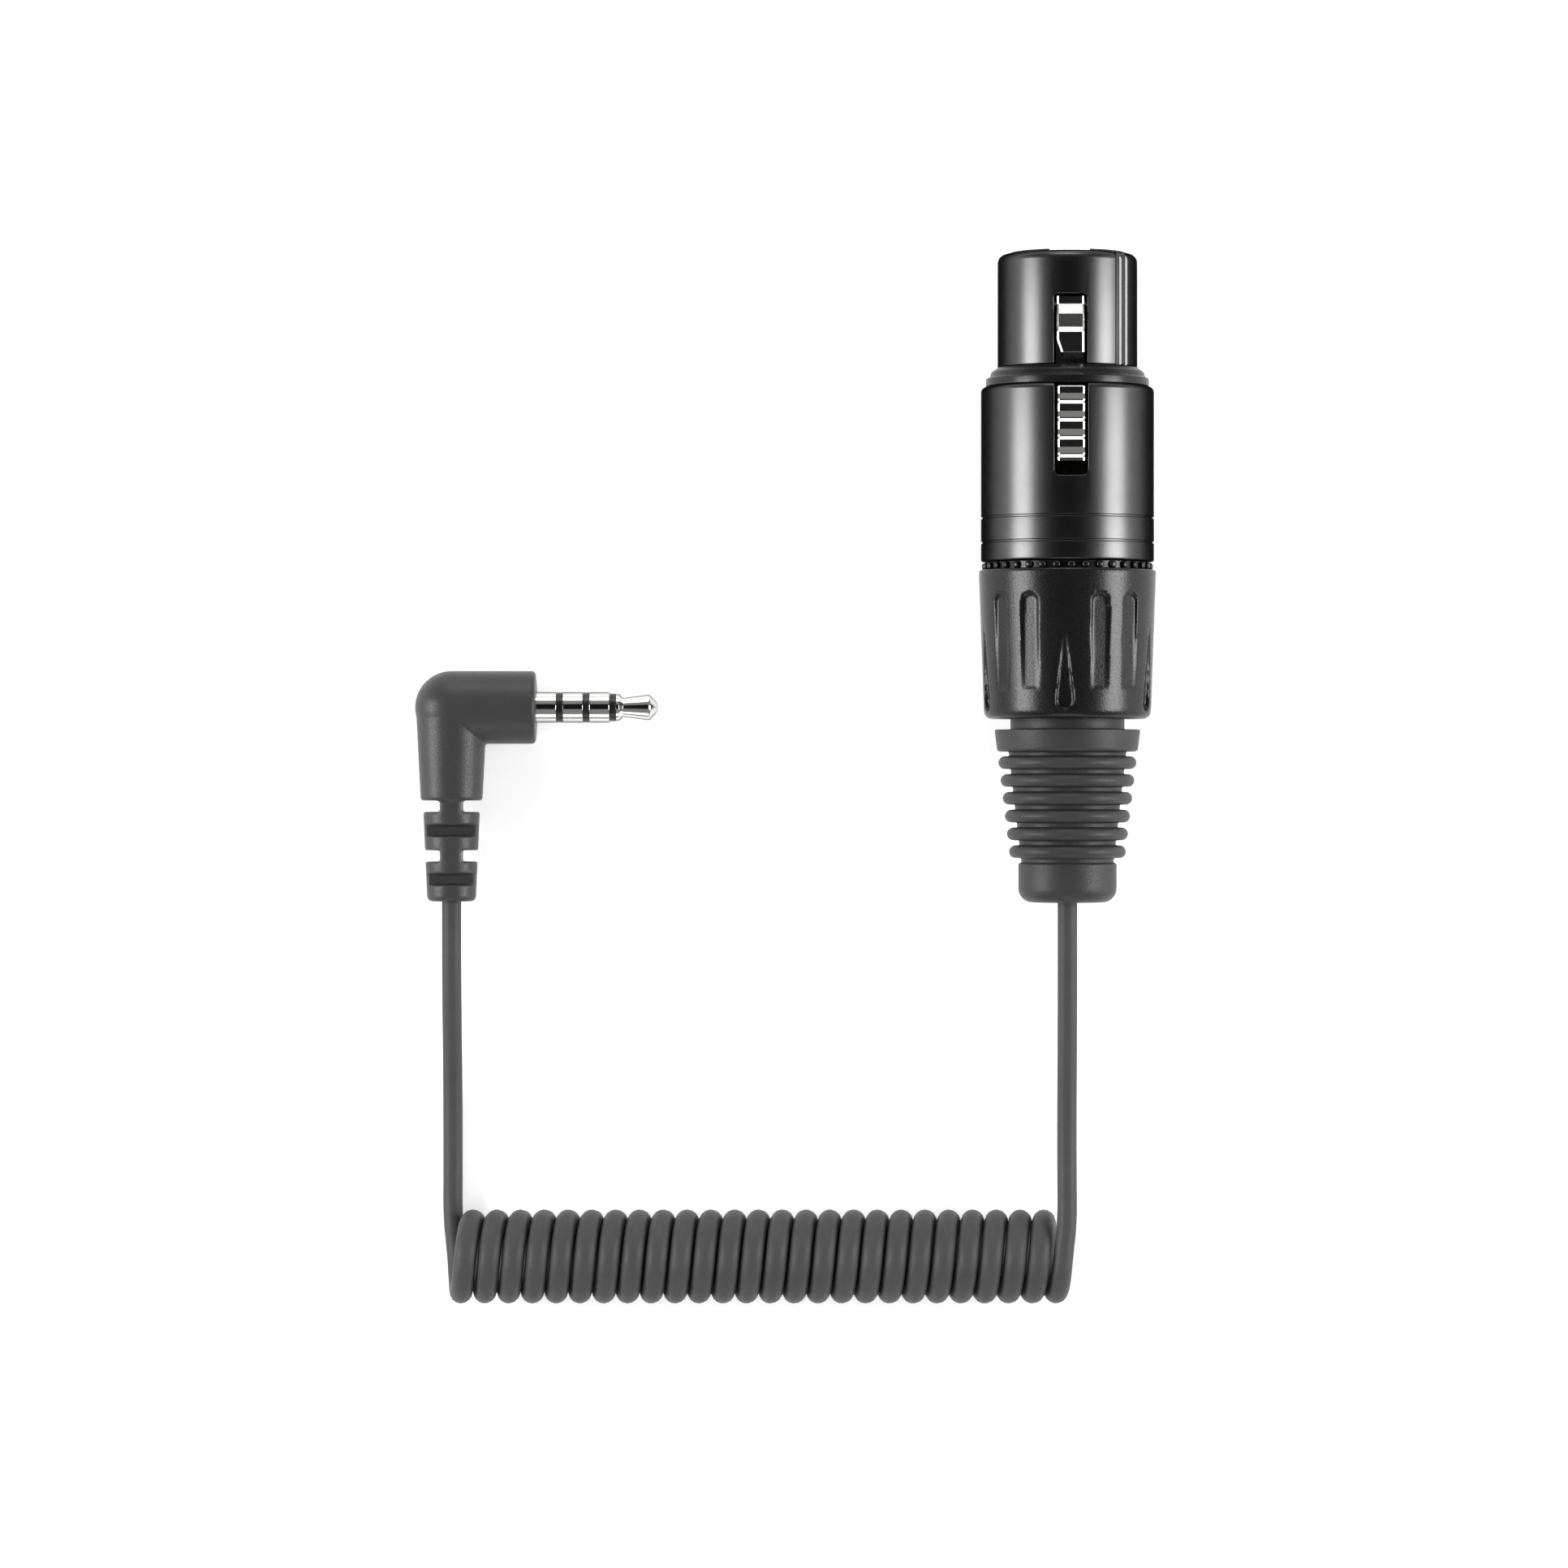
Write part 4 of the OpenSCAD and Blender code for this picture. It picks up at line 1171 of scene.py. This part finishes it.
class CABLE_OT_shell(bpy.types.Operator):
    """Builds the XLR connector's shell and the ring between its nose and its body"""

    bl_idname = "cable.shell"
    bl_label = "Shell and ring"

    def execute(self, context):
        sizes, colours = context.scene.cable_sizes, context.scene.cable_colours
        piece(
            "shell_finish", shell_mesh(sizes), XLR, lacquered_zinc(colours), body="xlr",
            nodes=("shell",), sharp=14,
        )
        piece(
            "collar", collar_mesh(sizes), XLR, collar_plastic(colours), body="xlr",
            nodes=("collar_ring",),
        )
        return {"FINISHED"}


class CABLE_OT_insert(bpy.types.Operator):
    """Finishes the insert that holds the contacts"""

    bl_idname = "cable.insert"
    bl_label = "Insert"

    def execute(self, context):
        piece(
            "insert_finish", refined("insert", INSERT_RIM), Matrix(),
            insert_nylon(context.scene.cable_colours), body="xlr", nodes=("insert",),
        )
        return {"FINISHED"}


class CABLE_OT_latch(bpy.types.Operator):
    """Builds the latch's lever with its hook and its ridged tab"""

    bl_idname = "cable.latch"
    bl_label = "Latch"

    def execute(self, context):
        piece(
            "latch_finish", latch_mesh(), XLR, satin_nickel(context.scene.cable_colours),
            body="latch", nodes=("latch_lever",), sharp=5,
        )
        return {"FINISHED"}


class CABLE_OT_nut(bpy.types.Operator):
    """Builds the back nut and the toothed ring in front of it"""

    bl_idname = "cable.nut"
    bl_label = "Back nut"

    def execute(self, context):
        sizes, colours = context.scene.cable_sizes, context.scene.cable_colours
        nylon = grained_nylon(colours)
        piece(
            "nut", nut_mesh(sizes), XLR, nylon, body="back_nut", nodes=("back_nut",)
        )
        piece(
            "teeth", toothed_mesh(sizes), XLR, nylon, body="back_nut", nodes=("toothed_ring",),
        )
        return {"FINISHED"}


class CABLE_OT_boot(bpy.types.Operator):
    """Builds the ribbed boot"""

    bl_idname = "cable.boot"
    bl_label = "Boot"

    def execute(self, context):
        sizes, colours = context.scene.cable_sizes, context.scene.cable_colours
        piece(
            "boot_finish", boot_mesh(sizes), XLR, matt_rubber(colours), body="boot",
            nodes=("boot",),
        )
        return {"FINISHED"}


class CABLE_OT_moulding(bpy.types.Operator):
    """Builds the angled plug's moulding with its strain relief"""

    bl_idname = "cable.moulding"
    bl_label = "Plug moulding"

    def execute(self, context):
        piece(
            "moulding", moulding_mesh(), PIN, moulded_rubber(context.scene.cable_colours),
            body="jack", nodes=("jack_moulding",), sharp=75,
        )
        return {"FINISHED"}


class CABLE_OT_pin(bpy.types.Operator):
    """Builds the plug pin: tip, rings, sleeve and the insulators between them"""

    bl_idname = "cable.pin"
    bl_label = "Plug pin"

    def execute(self, context):
        colours = context.scene.cable_colours
        nickel = nickel_plate(colours)
        black = black_insulator(colours)
        for name, node, corners in pin_sections():
            # The tip is solid, so its outline starts and ends on the axis
            closed = corners[0][0] > 0
            bm = lathe(outline(corners, closed=closed), closed=closed)
            material, slot = (black, "insulator") if "insulator" in name else (nickel, "plating")
            piece(name, bm, PIN, material, body="jack", nodes=(node,), sharp=25)
        return {"FINISHED"}


class CABLE_OT_inside(bpy.types.Operator):
    """Gives the pieces inside the connectors their materials"""

    bl_idname = "cable.inside"
    bl_label = "Pieces inside"

    def execute(self, context):
        colours = context.scene.cable_colours
        grey, red, white = (wire_insulation(code) for code in ("#8d8f92", "#8e2320", "#b9b9b6"))
        for nodes, material in (
            (("contact_1", "contact_2", "contact_3", "ground_clip"), gold_plate(colours)),
            (("latch_pin", "latch_spring"), spring_steel(colours)),
            (("chuck",), white_acetal()),
            (("jack_core",), core_nylon()),
            (("xlr_wire_1", "jack_wire_1"), grey),
            (("xlr_wire_2", "jack_wire_3"), red),
            (("xlr_wire_3", "jack_wire_2"), white),
            (("xlr_jacket", "jack_jacket"), cord_jacket(colours)),
        ):
            for node in nodes:
                finish_node(node, material)
        return {"FINISHED"}


class CABLE_OT_stage(bpy.types.Operator):
    """Sets the pale floor, the soft lamps and the camera"""

    bl_idname = "cable.stage"
    bl_label = "Stage"

    def execute(self, context):
        scene = context.scene
        scene.view_settings.view_transform = "Standard"
        studio_world(scene)
        floor = stage_plane("floor", (0, 0, 0), FLOOR_REACH, pale_floor())
        card = stage_plane("dark_card", CARD_PLACE, CARD_REACH, dark_card())
        card.visible_camera = False
        card.visible_shadow = False
        card.visible_diffuse = False
        for name, place, power, width, height in LAMPS:
            softbox(scene, name, Vector(place), power, width, height)
        camera = bpy.data.cameras.new("camera")
        camera.lens = CAMERA_LENS
        camera.sensor_width = CAMERA_SENSOR
        view = bpy.data.objects.new("camera", camera)
        view.location = CAMERA_PLACE
        scene.collection.objects.link(view)
        scene.camera = view
        return {"FINISHED"}


CLASSES = (
    CableSizes, CableColours, CABLE_OT_stage, CABLE_OT_cord, CABLE_OT_shell, CABLE_OT_insert,
    CABLE_OT_latch, CABLE_OT_nut, CABLE_OT_boot, CABLE_OT_moulding, CABLE_OT_pin, CABLE_OT_inside,
)


class CABLE_PT_panel(bpy.types.Panel):
    """Lists the cable's sizes, colours and operators"""

    bl_label = "Adapter cable"
    bl_idname = "CABLE_PT_panel"
    bl_space_type = "VIEW_3D"
    bl_region_type = "UI"
    bl_category = "Cable"

    def draw(self, context):
        for group in (context.scene.cable_sizes, context.scene.cable_colours):
            box = self.layout.box()
            for name in group.__annotations__:
                box.prop(group, name)
        column = self.layout.column()
        for kind in CLASSES[2:]:
            column.operator(kind.bl_idname)


def register():
    for kind in (*CLASSES, CABLE_PT_panel):
        bpy.utils.register_class(kind)
    bpy.types.Scene.cable_sizes = PointerProperty(type=CableSizes)
    bpy.types.Scene.cable_colours = PointerProperty(type=CableColours)


def unregister():
    del bpy.types.Scene.cable_colours
    del bpy.types.Scene.cable_sizes
    for kind in reversed((*CLASSES, CABLE_PT_panel)):
        bpy.utils.unregister_class(kind)


def main():
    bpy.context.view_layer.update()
    register()
    bpy.ops.cable.stage()
    bpy.ops.cable.shell()
    bpy.ops.cable.insert()
    bpy.ops.cable.latch()
    bpy.ops.cable.nut()
    bpy.ops.cable.boot()
    bpy.ops.cable.moulding()
    bpy.ops.cable.pin()
    bpy.ops.cable.inside()
    bpy.ops.cable.cord()


if __name__ == "__main__":
    main()
